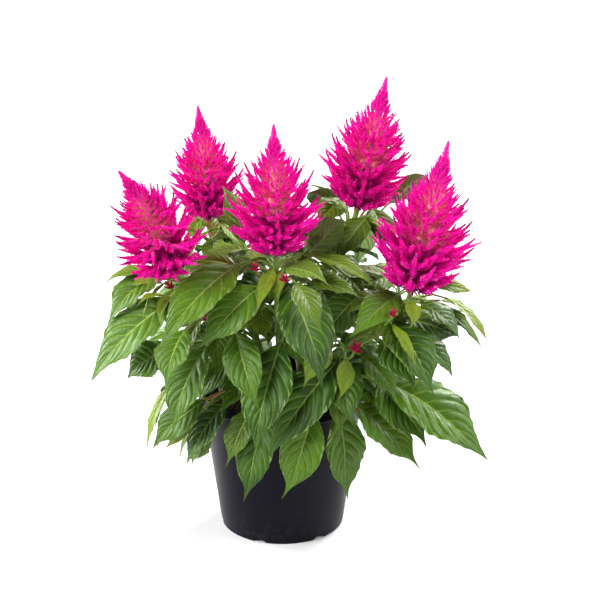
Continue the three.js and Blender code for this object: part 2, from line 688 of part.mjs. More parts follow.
/** A side bud: a small tuft of spikes round a pointed heart, on its stalk. */
function bud({ end, way, size }) {
  const up = (height) => end.clone().addScaledVector(way, GAP + height * size);
  const across = vec(0, 1, 0).cross(way).normalize();
  const over = way.clone().cross(across);
  const heart = solid(loft([
    ring(up(0), way, BUD.foot * size, BUD.sides),
    ring(up(BUD.waistHeight), way, BUD.waist * size, BUD.sides),
  ], up(1)));
  const florets = Array.from({ length: BUD.sides }, (_, i) => {
    const turn = (TURN * i) / BUD.sides;
    const lean = across.clone().multiplyScalar(Math.cos(turn)).addScaledVector(over, Math.sin(turn));
    const aim = way.clone().multiplyScalar(BUD.rise).addScaledVector(lean, BUD.lean).normalize();
    const root = up(BUD.floretHeight).addScaledVector(aim, BUD.floretRadius * size);
    return spike(root, aim, way, BUD.floret * size, BUD.floretRadius * size);
  });
  return joined([heart, ...florets]);
}

// ---- Assembly ----

const leaves = placedLeaves();

/** A leafy stem: the stem with its petioles and blades, and the stalks of its buds. */
function leafyStem(number) {
  const own = leaves.filter(({ stem }) => stem === number).map(leafSolid);
  const stalks = STALKS.filter(({ stem }) => stem === number).map(({ curve, end }) =>
    solid(loft(rod(curve, STALK.steps, STALK.foot, STALK.tip, STALK.sides), end)));
  return joined([stemSolid(number), ...own, ...stalks]);
}

const plant = new THREE.Group();
plant.add(meshOf('pot', pot(), BLACK_PLASTIC), meshOf('soil', soil(), PEAT));
STEMS.forEach((stem, i) => {
  plant.add(meshOf(`leafy_stem_${stem[0]}`, leafyStem(i), LEAF_GREEN));
  plant.add(meshOf(`plume_${stem[0]}`, plume(stem, i), MAGENTA));
});
STALKS.forEach((stalk, i) => plant.add(meshOf(`side_bud_${i + 1}`, bud(stalk), BUD_RED)));
plant.position.set(-MIDDLE[0], -MIDDLE[1], 0);

export default plant;
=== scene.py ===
"""A plume celosia in its nursery pot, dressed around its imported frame.

Lengths are millimetres from the middle of the pot's base until a mesh is made, which moves them to the
frame's origin, under the middle of the whole plant. +Z is up and the plant's front faces -Y.
"""

import math

import bpy
import numpy as np
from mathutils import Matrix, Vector


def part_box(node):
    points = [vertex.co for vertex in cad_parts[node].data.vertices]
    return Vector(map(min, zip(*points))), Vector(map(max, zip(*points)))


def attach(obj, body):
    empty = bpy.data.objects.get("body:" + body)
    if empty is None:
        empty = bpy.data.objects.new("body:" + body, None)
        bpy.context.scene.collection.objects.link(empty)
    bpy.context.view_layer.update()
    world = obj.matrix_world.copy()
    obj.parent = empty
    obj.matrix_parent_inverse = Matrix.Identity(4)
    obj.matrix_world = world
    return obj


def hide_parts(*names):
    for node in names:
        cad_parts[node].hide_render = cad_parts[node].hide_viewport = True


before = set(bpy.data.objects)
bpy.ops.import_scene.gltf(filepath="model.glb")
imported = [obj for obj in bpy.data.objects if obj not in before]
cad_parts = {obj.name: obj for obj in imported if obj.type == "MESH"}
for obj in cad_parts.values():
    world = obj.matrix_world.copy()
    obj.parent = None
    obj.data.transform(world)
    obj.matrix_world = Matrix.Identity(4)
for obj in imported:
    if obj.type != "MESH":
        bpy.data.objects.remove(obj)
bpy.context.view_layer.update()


# ---- Pot ----
# A round 12 cm nursery pot, injection-moulded in one piece of thin black polypropylene. Its wall flares up to
# a low turned-out rim. The floor stands on a ring foot, and six arches in the foot let the water out.

MM = 0.001
TURN = 2 * math.pi
MIDDLE = np.array([7.0, 10.0, 0.0])


def unit(vectors):
    """Vectors scaled to length 1."""
    return vectors / np.maximum(np.linalg.norm(vectors, axis=-1, keepdims=True), 1e-12)


def loft_faces(rows, columns):
    """Triangles of a tube of rings, counterclockwise about its way, closed on a pole at either end."""
    ring = np.arange(columns)
    beside = (ring + 1) % columns
    low = columns * np.arange(rows - 1)[:, None]
    walls = [
        np.stack([low + ring, low + beside, low + columns + beside], -1),
        np.stack([low + ring, low + columns + beside, low + columns + ring], -1),
    ]
    first, last, top = 0, columns * (rows - 1), columns * rows
    caps = [
        np.stack([first + beside, first + ring, np.full(columns, top)], -1),
        np.stack([last + ring, last + beside, np.full(columns, top + 1)], -1),
    ]
    return np.concatenate([part.reshape(-1, 3) for part in walls + caps])


def listed(rings, starts, ends):
    """Values on rings (loft, row, column, ...), loft by loft, with those of its two poles behind each."""
    count, tail = len(rings), rings.shape[3:]
    parts = [rings.reshape(count, -1, *tail), starts[:, None], ends[:, None]]
    return np.concatenate(parts, axis=1).reshape(-1, *tail)


def lofts(rings, starts, ends):
    """Points and triangles of closed lofts of like rings."""
    count, rows, columns = rings.shape[:3]
    first = (rows * columns + 2) * np.arange(count)[:, None, None]
    return listed(rings, starts, ends), (loft_faces(rows, columns) + first).reshape(-1, 3)


def joined(parts):
    """One list of points, triangles and attributes from several (points, triangles, attributes)."""
    firsts = np.cumsum([0] + [len(points) for points, _, _ in parts[:-1]])
    points = np.concatenate([points for points, _, _ in parts])
    faces = np.concatenate([faces + first for (_, faces, _), first in zip(parts, firsts)])
    names = parts[0][2]
    return points, faces, {name: np.concatenate([marks[name] for _, _, marks in parts]) for name in names}


def make_mesh(name, points, faces, marks):
    """A smooth mesh in the frame from points and triangles, with one value per point for each mark."""
    mesh = bpy.data.meshes.new(name)
    mesh.vertices.add(len(points))
    mesh.vertices.foreach_set("co", ((points - MIDDLE) * MM).ravel())
    mesh.loops.add(faces.size)
    mesh.loops.foreach_set("vertex_index", faces.ravel().astype(np.int32))
    mesh.polygons.add(len(faces))
    mesh.polygons.foreach_set("loop_start", np.arange(0, faces.size, 3, dtype=np.int32))
    mesh.update(calc_edges=True)
    mesh.shade_smooth()
    for mark, values in marks.items():
        mesh.attributes.new(mark, "FLOAT", "POINT").data.foreach_set("value", values.astype(np.float32))
    return mesh


def add_piece(name, points, faces, finish, slot, node, marks=None, crease=60):
    """A piece that stands for a CAD node; edges sharper than the crease angle stay sharp."""
    mesh = make_mesh(name, points, faces, marks or {})
    mesh.set_sharp_from_angle(angle=math.radians(crease))
    mesh.materials.append(finish.material)
    piece = bpy.data.objects.new(name, mesh)
    bpy.context.scene.collection.objects.link(piece)
    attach(piece, "root")
    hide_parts(node)
    return piece


class Wire:
    """A socket of a finish; arithmetic on it with numbers or sockets adds Math nodes."""

    def __init__(self, finish, socket):
        self.finish, self.socket = finish, socket

    def maths(self, operation, *values):
        """One Math node on values."""
        return self.finish.node("ShaderNodeMath", {"operation": operation}, dict(enumerate(values)))

    def __add__(self, other):
        return self.maths("ADD", self, other)

    def __sub__(self, other):
        return self.maths("SUBTRACT", self, other)

    def __rsub__(self, other):
        return self.maths("SUBTRACT", other, self)

    def __mul__(self, other):
        return self.maths("MULTIPLY", self, other)

    def __lt__(self, other):
        return self.maths("LESS_THAN", self, other)

    def __abs__(self):
        return self.maths("ABSOLUTE", self)

    __radd__ = __add__
    __rmul__ = __mul__

    def ripple(self):
        """The distance to the nearest whole number, from 0 to 0.5."""
        return self.maths("PINGPONG", self, 0.5)

    def step(self, low, high):
        """0 below low, 1 above high and smooth between; falling where low is the greater."""
        ends = {"Value": self, "From Min": min(low, high), "From Max": max(low, high)}
        ends |= {"To Min": float(low > high), "To Max": float(low < high)}
        return self.finish.node("ShaderNodeMapRange", {"interpolation_type": "SMOOTHSTEP"}, ends)


class Finish:
    """A procedural finish: constants set on the shader's sockets, and nodes that feed what varies."""

    def __init__(self, name, **sockets):
        self.material = bpy.data.materials.new(name)
        self.material.use_nodes = True
        self.tree = self.material.node_tree
        self.shader = self.tree.nodes["Principled BSDF"]
        for socket, value in sockets.items():
            self.shader.inputs[socket.replace("_", " ")].default_value = value

    def node(self, kind, settings, inputs, output=0):
        """Adds a node, makes its settings, then sets or links its sockets, and gives one of its outputs."""
        node = self.tree.nodes.new(kind)
        for setting, value in settings.items():
            setattr(node, setting, value)
        for socket, value in inputs.items():
            if isinstance(value, Wire):
                self.tree.links.new(value.socket, node.inputs[socket])
            else:
                node.inputs[socket].default_value = value
        return Wire(self, node.outputs[output])

    def mark(self, name):
        """A mesh attribute's value."""
        return self.node("ShaderNodeAttribute", {"attribute_name": name}, {}, "Fac")

    def noise(self, scale, detail, stretch=(1, 1, 1)):
        """Noise in Object coordinates, from 0 to 1, of a number of lumps to the metre."""
        place = self.node("ShaderNodeTexCoord", {}, {}, "Object")
        place = self.node("ShaderNodeMapping", {}, {"Vector": place, "Scale": stretch})
        return self.node("ShaderNodeTexNoise", {}, {"Vector": place, "Scale": scale, "Detail": detail})

    def mix(self, share, first, second):
        """A colour between two colours, on the Mix node's factor and its two colour sockets."""
        return self.node("ShaderNodeMix", {"data_type": "RGBA"}, {0: share, 6: first, 7: second}, 2)

    def feed(self, socket, wire):
        """Links what varies over the surface to a socket of the shader."""
        self.tree.links.new(wire.socket, self.shader.inputs[socket])

    def relief(self, height, depth):
        """Fine relief: height from 0 to 1 stands for depth in millimetres."""
        self.feed("Normal", self.node("ShaderNodeBump", {}, {"Height": height, "Distance": depth * MM}))


def colour(red, green, blue):
    """A colour from its 8-bit screen values."""
    screen = np.array([red, green, blue]) / 255
    linear = np.where(screen < 0.04045, screen / 12.92, ((screen + 0.055) / 1.055) ** 2.4)
    return (*linear, 1.0)


POT_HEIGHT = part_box("pot")[1].z / MM
POT_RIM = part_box("pot")[1].x / MM + MIDDLE[0]
POT_BASE, POT_TOP = 44.0, 57.6
RIM_HEIGHT, WALL, FOOT_WIDTH, FLOOR = 7.0, 1.3, 3.0, 4.5
SHOULDER = POT_HEIGHT - RIM_HEIGHT
FLOOR_CENTRE, POT_COLUMNS = 12.0, 360
ARCH_COUNT, ARCH_RADIUS, ARCH_SUNK, ARCH_FIRST, ARCH_CROWN = 6, 5.7, 2.7, 8.0, FLOOR - 0.2
DRAIN_COUNT, DRAIN_RADIUS, DRAIN_CIRCLE, DRAIN_SIDES, DRAIN_CUT = 5, 4.0, 29.0, 24, (2.0, 9.0)


def pot_outside(height):
    """The wall's outer radius: straight from the base to the shoulder under the rim."""
    return POT_BASE + (POT_TOP - POT_BASE) * height / SHOULDER


def pot_inside(height):
    """The wall's inner radius."""
    return pot_outside(height) - WALL


def circles(radii, heights, columns):
    """Level rings about Z, one for each radius and height: radius times the cosine and sine of the turn."""
    angles = TURN * np.arange(columns) / columns
    radii, heights = np.asarray(radii, float)[:, None], np.asarray(heights, float)[:, None]
    return np.stack(np.broadcast_arrays(radii * np.cos(angles), radii * np.sin(angles), heights), -1)


def pot_profile():
    """Radius and height along the wall: under the floor, round the foot, up, over the rim and down inside."""
    foot = POT_BASE - FOOT_WIDTH
    under = [(FLOOR_CENTRE, FLOOR), (foot - 0.4, FLOOR), (foot, FLOOR - 0.3)]
    ring_foot = [(foot, 0.3), (foot + 0.4, 0), (POT_BASE - 0.6, 0), (POT_BASE, 0.6)]
    outside = [(pot_outside(height), height) for height in (6, 30, 60, SHOULDER - 2)]
    shoulder = [(pot_outside(SHOULDER) + 0.1, SHOULDER - 0.4)]
    shoulder += [(POT_RIM - 0.5, SHOULDER + 0.2), (POT_RIM, SHOULDER + 0.9)]
    rim = [(0, -1.2), (-0.35, -0.35), (-1.2, 0), (-2.2, 0), (-2.6, -0.5)]
    rim = [(POT_RIM + radius, POT_HEIGHT + height) for radius, height in rim]
    inside = [(pot_inside(height), height) for height in (50, FLOOR + WALL)]
    inside = [(pot_inside(SHOULDER), SHOULDER - 1.5)] + inside + [(FLOOR_CENTRE, FLOOR + WALL)]
    return under + ring_foot + outside + shoulder + rim + inside


def pot_shell():
    """
    The wall's profile turned about Z. At the foot each lower edge is lifted to the arch over it, a circle
    sunk below the base: the square root of its radius squared less the way round from its middle squared.
    """
    rings = circles(*zip(*pot_profile()), POT_COLUMNS)
    angles = np.degrees(np.arctan2(rings[..., 1], rings[..., 0]))
    spacing = 360 / ARCH_COUNT
    off_centre = (angles - ARCH_FIRST + spacing / 2) % spacing - spacing / 2
    across = np.radians(off_centre) * POT_BASE
    arch = np.minimum(np.sqrt(np.maximum(ARCH_RADIUS**2 - across**2, 0)) - ARCH_SUNK, ARCH_CROWN)
    height = rings[..., 2]
    rings[..., 2] = np.where(height < arch, arch + 0.02 * height, height)
    return lofts(rings[None], np.array([[0, 0, FLOOR]]), np.array([[0, 0, FLOOR + WALL]]))


def drain(piece):
    """Cuts the round drain holes through the floor."""
    angles = TURN * np.arange(DRAIN_COUNT) / DRAIN_COUNT
    centres = DRAIN_CIRCLE * np.stack([np.cos(angles), np.sin(angles), 0 * angles], -1)
    plug = circles([DRAIN_RADIUS] * 2, DRAIN_CUT, DRAIN_SIDES)
    bottom, top = np.outer(DRAIN_CUT, [0, 0, 1])
    points, faces = lofts(plug + centres[:, None, None], bottom + centres, top + centres)
    cutter = bpy.data.objects.new("drain_cutter", make_mesh("drain_cutter", points, faces, {}))
    bpy.context.scene.collection.objects.link(cutter)
    cut = piece.modifiers.new("drains", "BOOLEAN")
    cut.operation, cut.object = "DIFFERENCE", cutter
    bpy.context.view_layer.update()
    whole = piece.evaluated_get(bpy.context.evaluated_depsgraph_get())
    shell = bpy.data.meshes.new_from_object(whole)
    piece.modifiers.clear()
    piece.data = shell
    bpy.data.objects.remove(cutter)


def black_plastic():
    """Satin black polypropylene: faint mottling, a little dust near the foot and fine moulding grain."""
    finish = Finish("black_plastic", Specular_IOR_Level=0.08)
    cloud = finish.noise(60, 4)
    place = finish.node("ShaderNodeTexCoord", {}, {}, "Object")
    height = finish.node("ShaderNodeSeparateXYZ", {}, {0: place}, "Z")
    dust = height.step(0.035, 0.0) * finish.noise(240, 5).step(0.45, 0.8)
    black = finish.mix(cloud, colour(12, 10, 19), colour(17, 15, 26))
    finish.feed("Base Color", finish.mix(0.12 * dust, black, colour(96, 84, 76)))
    finish.feed("Roughness", 0.30 + 0.14 * cloud + 0.12 * dust)
    finish.relief(finish.noise(2600, 2), 0.02)
    return finish


drain(add_piece("nursery_pot", *pot_shell(), black_plastic(), "pot_plastic", "pot", crease=35))


# ---- Root ball ----
# Dark moist peat, pressed into the pot round the plug that the plant was raised in. It fills the pot to a
# finger's breadth under the rim, and its top is crumbly and uneven.

GAP, SOIL_TOP, SOIL_LUMP, CRUMB = 0.3, 93.0, 1.3, 0.9
PEAT_ROWS, PEAT_COLUMNS, PEAT_EDGE, PEAT_CENTRE = 40, 120, 54.0, 1.5
peat_chance = np.random.default_rng(11)


def peat_waves(x, y):
    """Long crossed waves and shorter slanting ones, for the lumps of the peat's top."""
    return np.sin(0.31 * x + 1.7) * np.cos(0.27 * y) + 0.6 * np.sin(0.63 * x - 0.41 * y)


def peat_ball():
    """Rings from the floor up the wall and in over the top, which waves and crumbs lift and sink."""
    low, edge = FLOOR + WALL + GAP, SOIL_TOP - 2
    inwards = np.linspace(PEAT_EDGE, PEAT_CENTRE, PEAT_ROWS)
    radii = np.concatenate([[pot_inside(low) - 2 * GAP], [pot_inside(edge) - GAP], inwards])
    heights = np.concatenate([[low, edge], np.full(PEAT_ROWS, SOIL_TOP)])
    rings = circles(radii, heights, PEAT_COLUMNS)
    x, y = rings[2:, :, 0], rings[2:, :, 1]
    rings[2:, :, 2] += SOIL_LUMP * peat_waves(x, y) + CRUMB * (peat_chance.random(x.shape) - 0.5)
    top = np.array([[0, 0, SOIL_TOP + SOIL_LUMP * peat_waves(0, 0)]])
    return lofts(rings[None], np.array([[0, 0, low]]), top)


def moist_peat():
    """Dark brown crumbs with paler fibres, dull and rough."""
    finish = Finish("moist_peat", Roughness=0.95, Specular_IOR_Level=0.2)
    crumbs = finish.noise(420, 6)
    fibres = finish.noise(900, 4, (1, 0.2, 1)).step(0.62, 0.72)
    brown = finish.mix(crumbs.step(0.3, 0.7), colour(26, 18, 14), colour(72, 52, 38))
    finish.feed("Base Color", finish.mix(0.6 * fibres, brown, colour(120, 92, 66)))
    finish.relief(crumbs, 1.2)
    return finish


add_piece("root_ball", *peat_ball(), moist_peat(), "peat", "soil")


# ---- Leafy stems ----
# Five upright stems branch low down and stand in the peat. Each carries thin leaves on round petioles:
# pointed ovals that hang outwards, folded a little at the midrib, with forward-arching veins sunk into a
# quilted upper face.

UP = np.array([0.0, 0.0, 1.0])

# foot of the stem in the peat (x, y), foot of its plume, tip of its plume
STEMS = {
    "left": ((-15, -8), (-75, -38, 208), (-108, -62, 286)),
    "back_left": ((-11, 13), (-53, 42, 218), (-59, 40, 301)),
    "centre": ((-1, -13), (-4, -28, 216), (-5, -24, 307)),
    "back_right": ((12, 14), (54, 48, 223), (74, 52, 319)),
    "right": ((16, -7), (90, -30, 189), (114, -22, 295)),
}
NAMES = list(STEMS)
STEM_FOOT, STEM_TIP, STEM_RISE, STEM_HOLE = 3.0, 2.0, 46.0, 84.0

# stem, heel of the blade, tip of the blade, width, roll about the blade's length in degrees
LEAVES = [
    # the apron of long leaves that hangs over the front of the pot
    (2, (4, -44, 200), (30, -94, 144), 38, 0),
    (2, (0, -54, 160), (-20, -92, 94), 35, 0),
    (4, (40, -50, 146), (-11, -82, 85), 34, 0),
    (4, (23, -62, 112), (4, -77, 52), 30, 0),
    (2, (-10, -57, 113), (-19, -62, 47), 27, 0),
    (2, (-20, -57, 112), (-37, -76, 76), 21, 0),
    (4, (38, -52, 112), (43, -60, 43), 32, 0),
    # the left shoulder and the leaves under it
    (2, (-28, -34, 210), (-82, -90, 171), 36, -8),
    (2, (-13, -52, 201), (-55, -80, 163), 31, -8),
    (0, (-71, -44, 189), (-132, -62, 134), 38, -15),
    (0, (-80, -22, 200), (-115, -46, 166), 31, -10),
    (0, (-51, -58, 159), (-76, -78, 103), 32, -8),
    (0, (-65, -62, 173), (-75, -86, 138), 28, 0),
    (0, (-80, -40, 198), (-94, -68, 181), 9, 50),
    (0, (-85, -24, 201), (-122, -26, 187), 16, 0),
    (0, (-79, -55, 194), (-95, -73, 190), 10, 0),
    (0, (-68, -30, 198), (-48, -35, 205), 12, 0),
    (0, (-72, -30, 146), (-108, -42, 130), 26, -15),
    (0, (-38, -49, 112), (-66, -62, 71), 29, 0),
    (0, (-50, -42, 114), (-90, -60, 83), 14, 0),
    (0, (-52, -38, 106), (-79, -50, 75), 12, 0),
    (0, (-76, -34, 122), (-95, -46, 71), 12, 0),
    (0, (-24, -34, 148), (-61, -47, 111), 30, 0),
    # young leaves round the foot of the middle plume
    (2, (-5, -36, 207), (-16, -74, 191), 11, 0),
    (2, (1, -40, 206), (-4, -62, 190), 7, 0),
    (2, (3, -34, 206), (32, -60, 207), 19, 0),
    (2, (-13, -42, 179), (-12, -54, 160), 16, 0),
    (2, (-26, -44, 164), (-24, -54, 142), 9, 0),
    (2, (13, -12, 208), (66, -64, 203), 17, 0),
    (2, (18, -34, 196), (55, -54, 193), 19, 0),
    (2, (15, 5, 203), (41, 10, 226), 25, 0),
    (2, (-26, 4, 211), (-43, 12, 254), 22, 80),
    (2, (-26, -8, 211), (-59, -8, 201), 18, 0),
    (2, (-29, -26, 204), (-65, -14, 199), 15, 0),
    # the right shoulder and the leaves under it
    (4, (73, -42, 125), (143, -66, 75), 46, 14),
    (4, (76, -54, 175), (103, -80, 132), 36, 10),
    (4, (49, -50, 112), (96, -66, 69), 33, 10),
    (4, (82, -24, 184), (48, -84, 177), 25, 0),
    (4, (77, -37, 171), (113, -50, 171), 20, 0),
    (4, (95, -42, 184), (125, -58, 167), 26, 0),
    (4, (100, -18, 177), (141, -30, 144), 20, 0),
    (4, (111, -16, 176), (136, -14, 163), 12, 0),
    (4, (95, 12, 177), (134, 8, 177), 11, 0),
    (4, (105, 20, 175), (131, 26, 186), 12, 0),
    (4, (91, -28, 152), (121, -40, 129), 24, 10),
    (4, (75, -60, 176), (90, -88, 155), 10, 0),
    (4, (74, -36, 171), (47, -46, 160), 16, 0),
    (4, (79, -5, 187), (44, -10, 201), 12, 0),
    (4, (54, -36, 188), (28, -46, 159), 27, 0),
    (4, (54, -50, 149), (80, -64, 121), 26, 0),
    (4, (44, -61, 151), (42, -78, 128), 13, 0),
    # round the feet of the two plumes behind
    (3, (61, 38, 219), (39, 10, 196), 22, 0),
    (3, (60, 44, 217), (82, 12, 207), 16, 0),
    (3, (70, 78, 213), (106, 90, 226), 15, 0),
    (3, (43, 76, 215), (15, 86, 229), 15, 0),
    (1, (-45, 30, 213), (-61, 12, 208), 10, 0),
]

# tiers set out by rule: how many, arc in degrees from +X through +Y, heel radius and height, tip radius and
# height, width; the first four close the back, and the others the crown over the pot; then each leaf's stray
TIERS = [
    (6, -8, 188, 62, 116, 98, 66, 33),
    (6, 4, 176, 60, 150, 112, 112, 34),
    (5, 12, 168, 66, 182, 114, 152, 33),
    (5, 24, 156, 40, 200, 90, 186, 30),
    (5, 188, 352, 34, 130, 74, 112, 32),
    (4, 195, 345, 26, 160, 64, 142, 30),
    (4, 200, 340, 24, 190, 58, 176, 26),
    (4, 20, 160, 22, 158, 66, 158, 30),
]
STRAY = {"angle": 14, "swing": 0.3, "drop": 14, "width": 0.24}

# more leaves between and behind those, in the columns of the first list
MORE_LEAVES = [
    (3, (41, 80, 207), (17, 60, 232), 26, 25),
    (3, (44, 70, 221), (23, 40, 211), 20, -25),
    (3, (65, 60, 218), (74, 30, 197), 22, 25),
    (1, (-49, 60, 215), (-41, 30, 207), 18, 0),
    (1, (-52, 60, 214), (-68, 30, 204), 18, -25),
    (0, (-78, -50, 151), (-108, -50, 134), 30, -25),
    (0, (-52, -60, 119), (-89, -60, 84), 24, -25),
    (0, (-57, -50, 106), (-80, -50, 77), 14, -25),
    (0, (-44, -50, 107), (-67, -40, 61), 30, -25),
    (4, (85, -30, 168), (126, -30, 159), 30, 25),
    (4, (66, -40, 123), (104, -70, 95), 34, 25),
    (4, (68, -50, 160), (94, -80, 140), 28, 25),
    (3, (65, 66, 213), (51, 58, 177), 24, 0),
    (2, (18, -4, 205), (39, -29, 237), 22, -30),
    (3, (77, 80, 214), (102, 55, 241), 16, -30),
    (4, (59, -18, 116), (65, -43, 103), 18, 0),
    (4, (105, 10, 178), (138, 18, 170), 12, 30),
    (4, (116, -18, 178), (142, -43, 150), 13, 0),
    (3, (41, -4, 194), (58, -29, 189), 20, 30),
    (3, (44, 24, 199), (27, 16, 209), 20, -30),
    (4, (80, 10, 185), (51, -15, 185), 20, -30),
]
# a collar of small leaves close under each plume: how many at most, how many tries, and for each leaf the
# ranges of its share of the stem's length, reach from the stem, rise of the petiole, length, droop in
# degrees, width over length and roll
COLLAR_LEAVES, COLLAR_TRIES = 7, 40
COLLAR = {
    "climb": (0.86, 0.97), "reach": (5, 14), "rise": (0.0, 0.5), "length": (24, 40), "droop": (-4, 34),
    "slim": (0.34, 0.5), "roll": (-25, 25),
}
# inner leaves, drawn by chance: how many, the same ranges, and where their tips may be
INNER_LEAVES = 69
INNER = {
    "climb": (0.15, 0.95), "reach": (12, 34), "rise": (0.2, 0.55), "length": (34, 62), "droop": (-5, 55),
    "slim": (0.42, 0.58), "roll": (-25, 25),
}
CROWN_RADIUS, CROWN_HEIGHTS = (20, 98), (84, 225)
crown_chance = np.random.default_rng(14)

# stem, foot of the bud, size
BUDS = [
    (2, (-17, -46, 209), 7), (2, (2, -56, 205), 7), (0, (-75, -46, 196), 7), (0, (-60, -41, 195), 8),
    (0, (-49, -60, 178), 7), (4, (50, -62, 156), 9), (4, (75, -62, 182), 6), (4, (48, -64, 114), 8),
]

# the smooth blade across, in half widths, with its waves along it and its greatest twist in degrees
FOLD, CURL, WAVE, WAVES, WAVE_OFFSET, TWIST, UNTWISTED = 0.42, 0.24, 0.09, 3, 0.35, 14, 0.3
# the midrib's arch as a share of its length and of the lift, and the powers of the outline at heel and point
ARCH, LIFTED_ARCH, WIDEST, POINT = 0.16, 0.25, 0.8, 1.3
# how petioles and stalks leave their stems
NODE_DROP, NODE_OVER_SOIL, NODE_UNDER_PLUME, SOIL_CLEAR = 0.35, 9, 7, 3
BRANCH_OUT, BRANCH_RISE, SKYWARD = 0.3, 0.35, 0.5


def scatter(i, j):
    """A repeatable value from 0 to 1 for a pair of numbers: a large sine less its whole part."""
    return np.sin(12.9898 * i + 78.233 * j) * 43758.5453 % 1.0


def between(ends, share):
    """The value at a share of the way from one end to the other."""
    low, high = ends
    return low + (high - low) * share


def bezier(controls, t):
    """Point and direction at each t on a curve: neighbouring controls are blended until two are left."""
    t = np.asarray(t, float)[:, None]
    level = np.repeat(np.asarray(controls, float)[:, None], len(t), axis=1)
    while len(level) > 2:
        level = level[:-1] + (level[1:] - level[:-1]) * t
    return level[0] + (level[1] - level[0]) * t, unit(level[1] - level[0])


def stem_path(foot, base, tip):
    """Controls of a stem above the peat: upright at its foot, and in line with its plume at the top."""
    axis = unit(np.subtract(tip, base))
    start, top = np.array([*foot, SOIL_TOP + SOIL_CLEAR]), base - GAP * axis
    return np.array([start, start + STEM_RISE * UP, top - STEM_RISE * axis, top])


PATHS = [stem_path(*stem) for stem in STEMS.values()]


def node_on_stem(stem, end):
    """Where a petiole or stalk leaves its stem: lower than its end by about a third of the way out."""
    foot, base, _ = STEMS[NAMES[stem]]
    height = end[2] - NODE_DROP * np.hypot(end[0] - foot[0], end[1] - foot[1])
    height = np.clip(height, SOIL_TOP + NODE_OVER_SOIL, base[2] - NODE_UNDER_PLUME)
    t = np.linspace(0, 1, 2001)
    return bezier(PATHS[stem], [np.interp(height, bezier(PATHS[stem], t)[0][:, 2], t)])[0][0]


def branch(node, end, way):
    """Controls of a petiole or stalk that leaves its stem upwards and meets its end along a direction."""
    reach = np.linalg.norm(node - end) / 3
    second = node + BRANCH_OUT * (end - node) + BRANCH_RISE * reach * UP
    return np.array([node, second, end - reach * way, end])


def skyward(point):
    """Up and outwards from the plant's axis."""
    return UP + SKYWARD * unit(point * [1, 1, 0])


def shape_leaf(row, number, lift):
    """
    A leaf's curves, width, twist and phase. The blade's midrib arches over its chord by a share of its
    length, along the upper face, which looks skyward before its roll. Its tip is lifted that way too.
    """
    stem, heel, tip, width, roll = row
    heel, chord = np.array(heel, float), np.subtract(tip, heel)
    length, along, roll = np.linalg.norm(chord), unit(chord), math.radians(roll)
    face = unit(skyward(heel) - (skyward(heel) @ along) * along)
    face = face * math.cos(roll) + np.cross(along, face) * math.sin(roll)
    end = heel + chord + lift * face
    blade = np.array([heel, (heel + end) / 2 + (ARCH * length + LIFTED_ARCH * lift) * face, end])
    axis = node_on_stem(stem, heel)
    node = axis + STEM_TIP / 2 * unit(heel - axis)
    return {
        "stem": stem, "number": number, "width": width, "phase": scatter(number, 2),
        "twist": TWIST * (2 * scatter(number, 1) - 1), "side": unit(np.cross(face, chord)),
        "blade": blade, "petiole": branch(node, heel, unit(blade[1] - blade[0])),
    }


def half_width(leaf, t, rise, fall):
    """Half the blade's width: t to the power rise times 1 - t to the power fall, over its peak."""
    peak = rise / (rise + fall)
    return leaf["width"] / 2 * (t / peak) ** rise * ((1 - t) / (1 - peak)) ** fall


def blade_frame(leaf, t):
    """Points of the midrib, and the ways across the blade and up from its upper face, twisted along it."""
    at, along = bezier(leaf["blade"], t)
    turn = np.radians(leaf["twist"] * (np.asarray(t) - UNTWISTED))[:, None]
    across = leaf["side"] * np.cos(turn) + np.cross(along, leaf["side"]) * np.sin(turn)
    return at, across, np.cross(along, across)


def blade_rise(leaf, t, v):
    """
    The blade's rise over its midrib in half widths: the fold grows with |v|, the curl takes off its square,
    and a wave along the blade adds its cube.
    """
    edge = np.abs(v)
    turns = WAVES * t + leaf["phase"] + WAVE_OFFSET * (v > 0)
    return FOLD * edge - CURL * edge**2 + WAVE * edge**3 * np.sin(TURN * turns)


# what a leaf keeps from another blade over or under it, and from stems, plumes, pot, rim and buds
CLEARANCE, ABOVE, ROOM, POT_ROOM, RIM_ROOM, BUD_BALL, BUD_ROOM = 1.6, 14.0, 1.5, 2.6, 5, 0.6, 1
LIFTS = [0] + [side * lift for lift in (3, 6, 9, 12, 16, 20, 24) for side in (1, -1)]
# where a leaf is sampled, and how many of its rows may meet another leaf of the same stem
ALONG, ACROSS, OWN_ROWS = np.linspace(0.08, 0.92, 8), np.array([-1, -0.5, 0, 0.5, 1]), 4
PETIOLE_SAMPLES = [0.2, 0.35, 0.5, 0.65, 0.8, 0.95]
# height above a plume's foot and reach from its axis there, as shares of its length
PLUME_OUTLINE = [
    (0, 0.2), (0.1, 0.35), (0.2, 0.4), (0.35, 0.4), (0.5, 0.3), (0.7, 0.17), (0.85, 0.08), (1, 0.03),
]


def sample_leaf(leaf):
    """Adds sample points of the petiole and the blade, and the way out from the upper face at the blade's."""
    t, v = (grid.ravel() for grid in np.meshgrid(ALONG, ACROSS, indexing="ij"))
    at, across, over = blade_frame(leaf, t)
    half = half_width(leaf, t, WIDEST, POINT)[:, None]
    skin = at + across * half * v[:, None] + over * half * blade_rise(leaf, t, v)[:, None]
    slope = np.sign(v) * (FOLD - 2 * CURL * np.abs(v))
    cell = (0.12 * np.linalg.norm(leaf["blade"][2] - leaf["blade"][0]), leaf["width"] / 4)
    middle = (skin.min(0) + skin.max(0)) / 2
    return leaf | {
        "skin": skin, "faces": unit(over - across * slope[:, None]), "middle": middle,
        "points": np.vstack([bezier(leaf["petiole"], PETIOLE_SAMPLES)[0], skin, leaf["blade"][2:]]),
        "outer": skin[OWN_ROWS * len(ACROSS):], "footprint": 0.5 * math.hypot(*cell) + 0.5 * CLEARANCE,
        "radius": np.linalg.norm(skin - middle, axis=1).max(),
    }


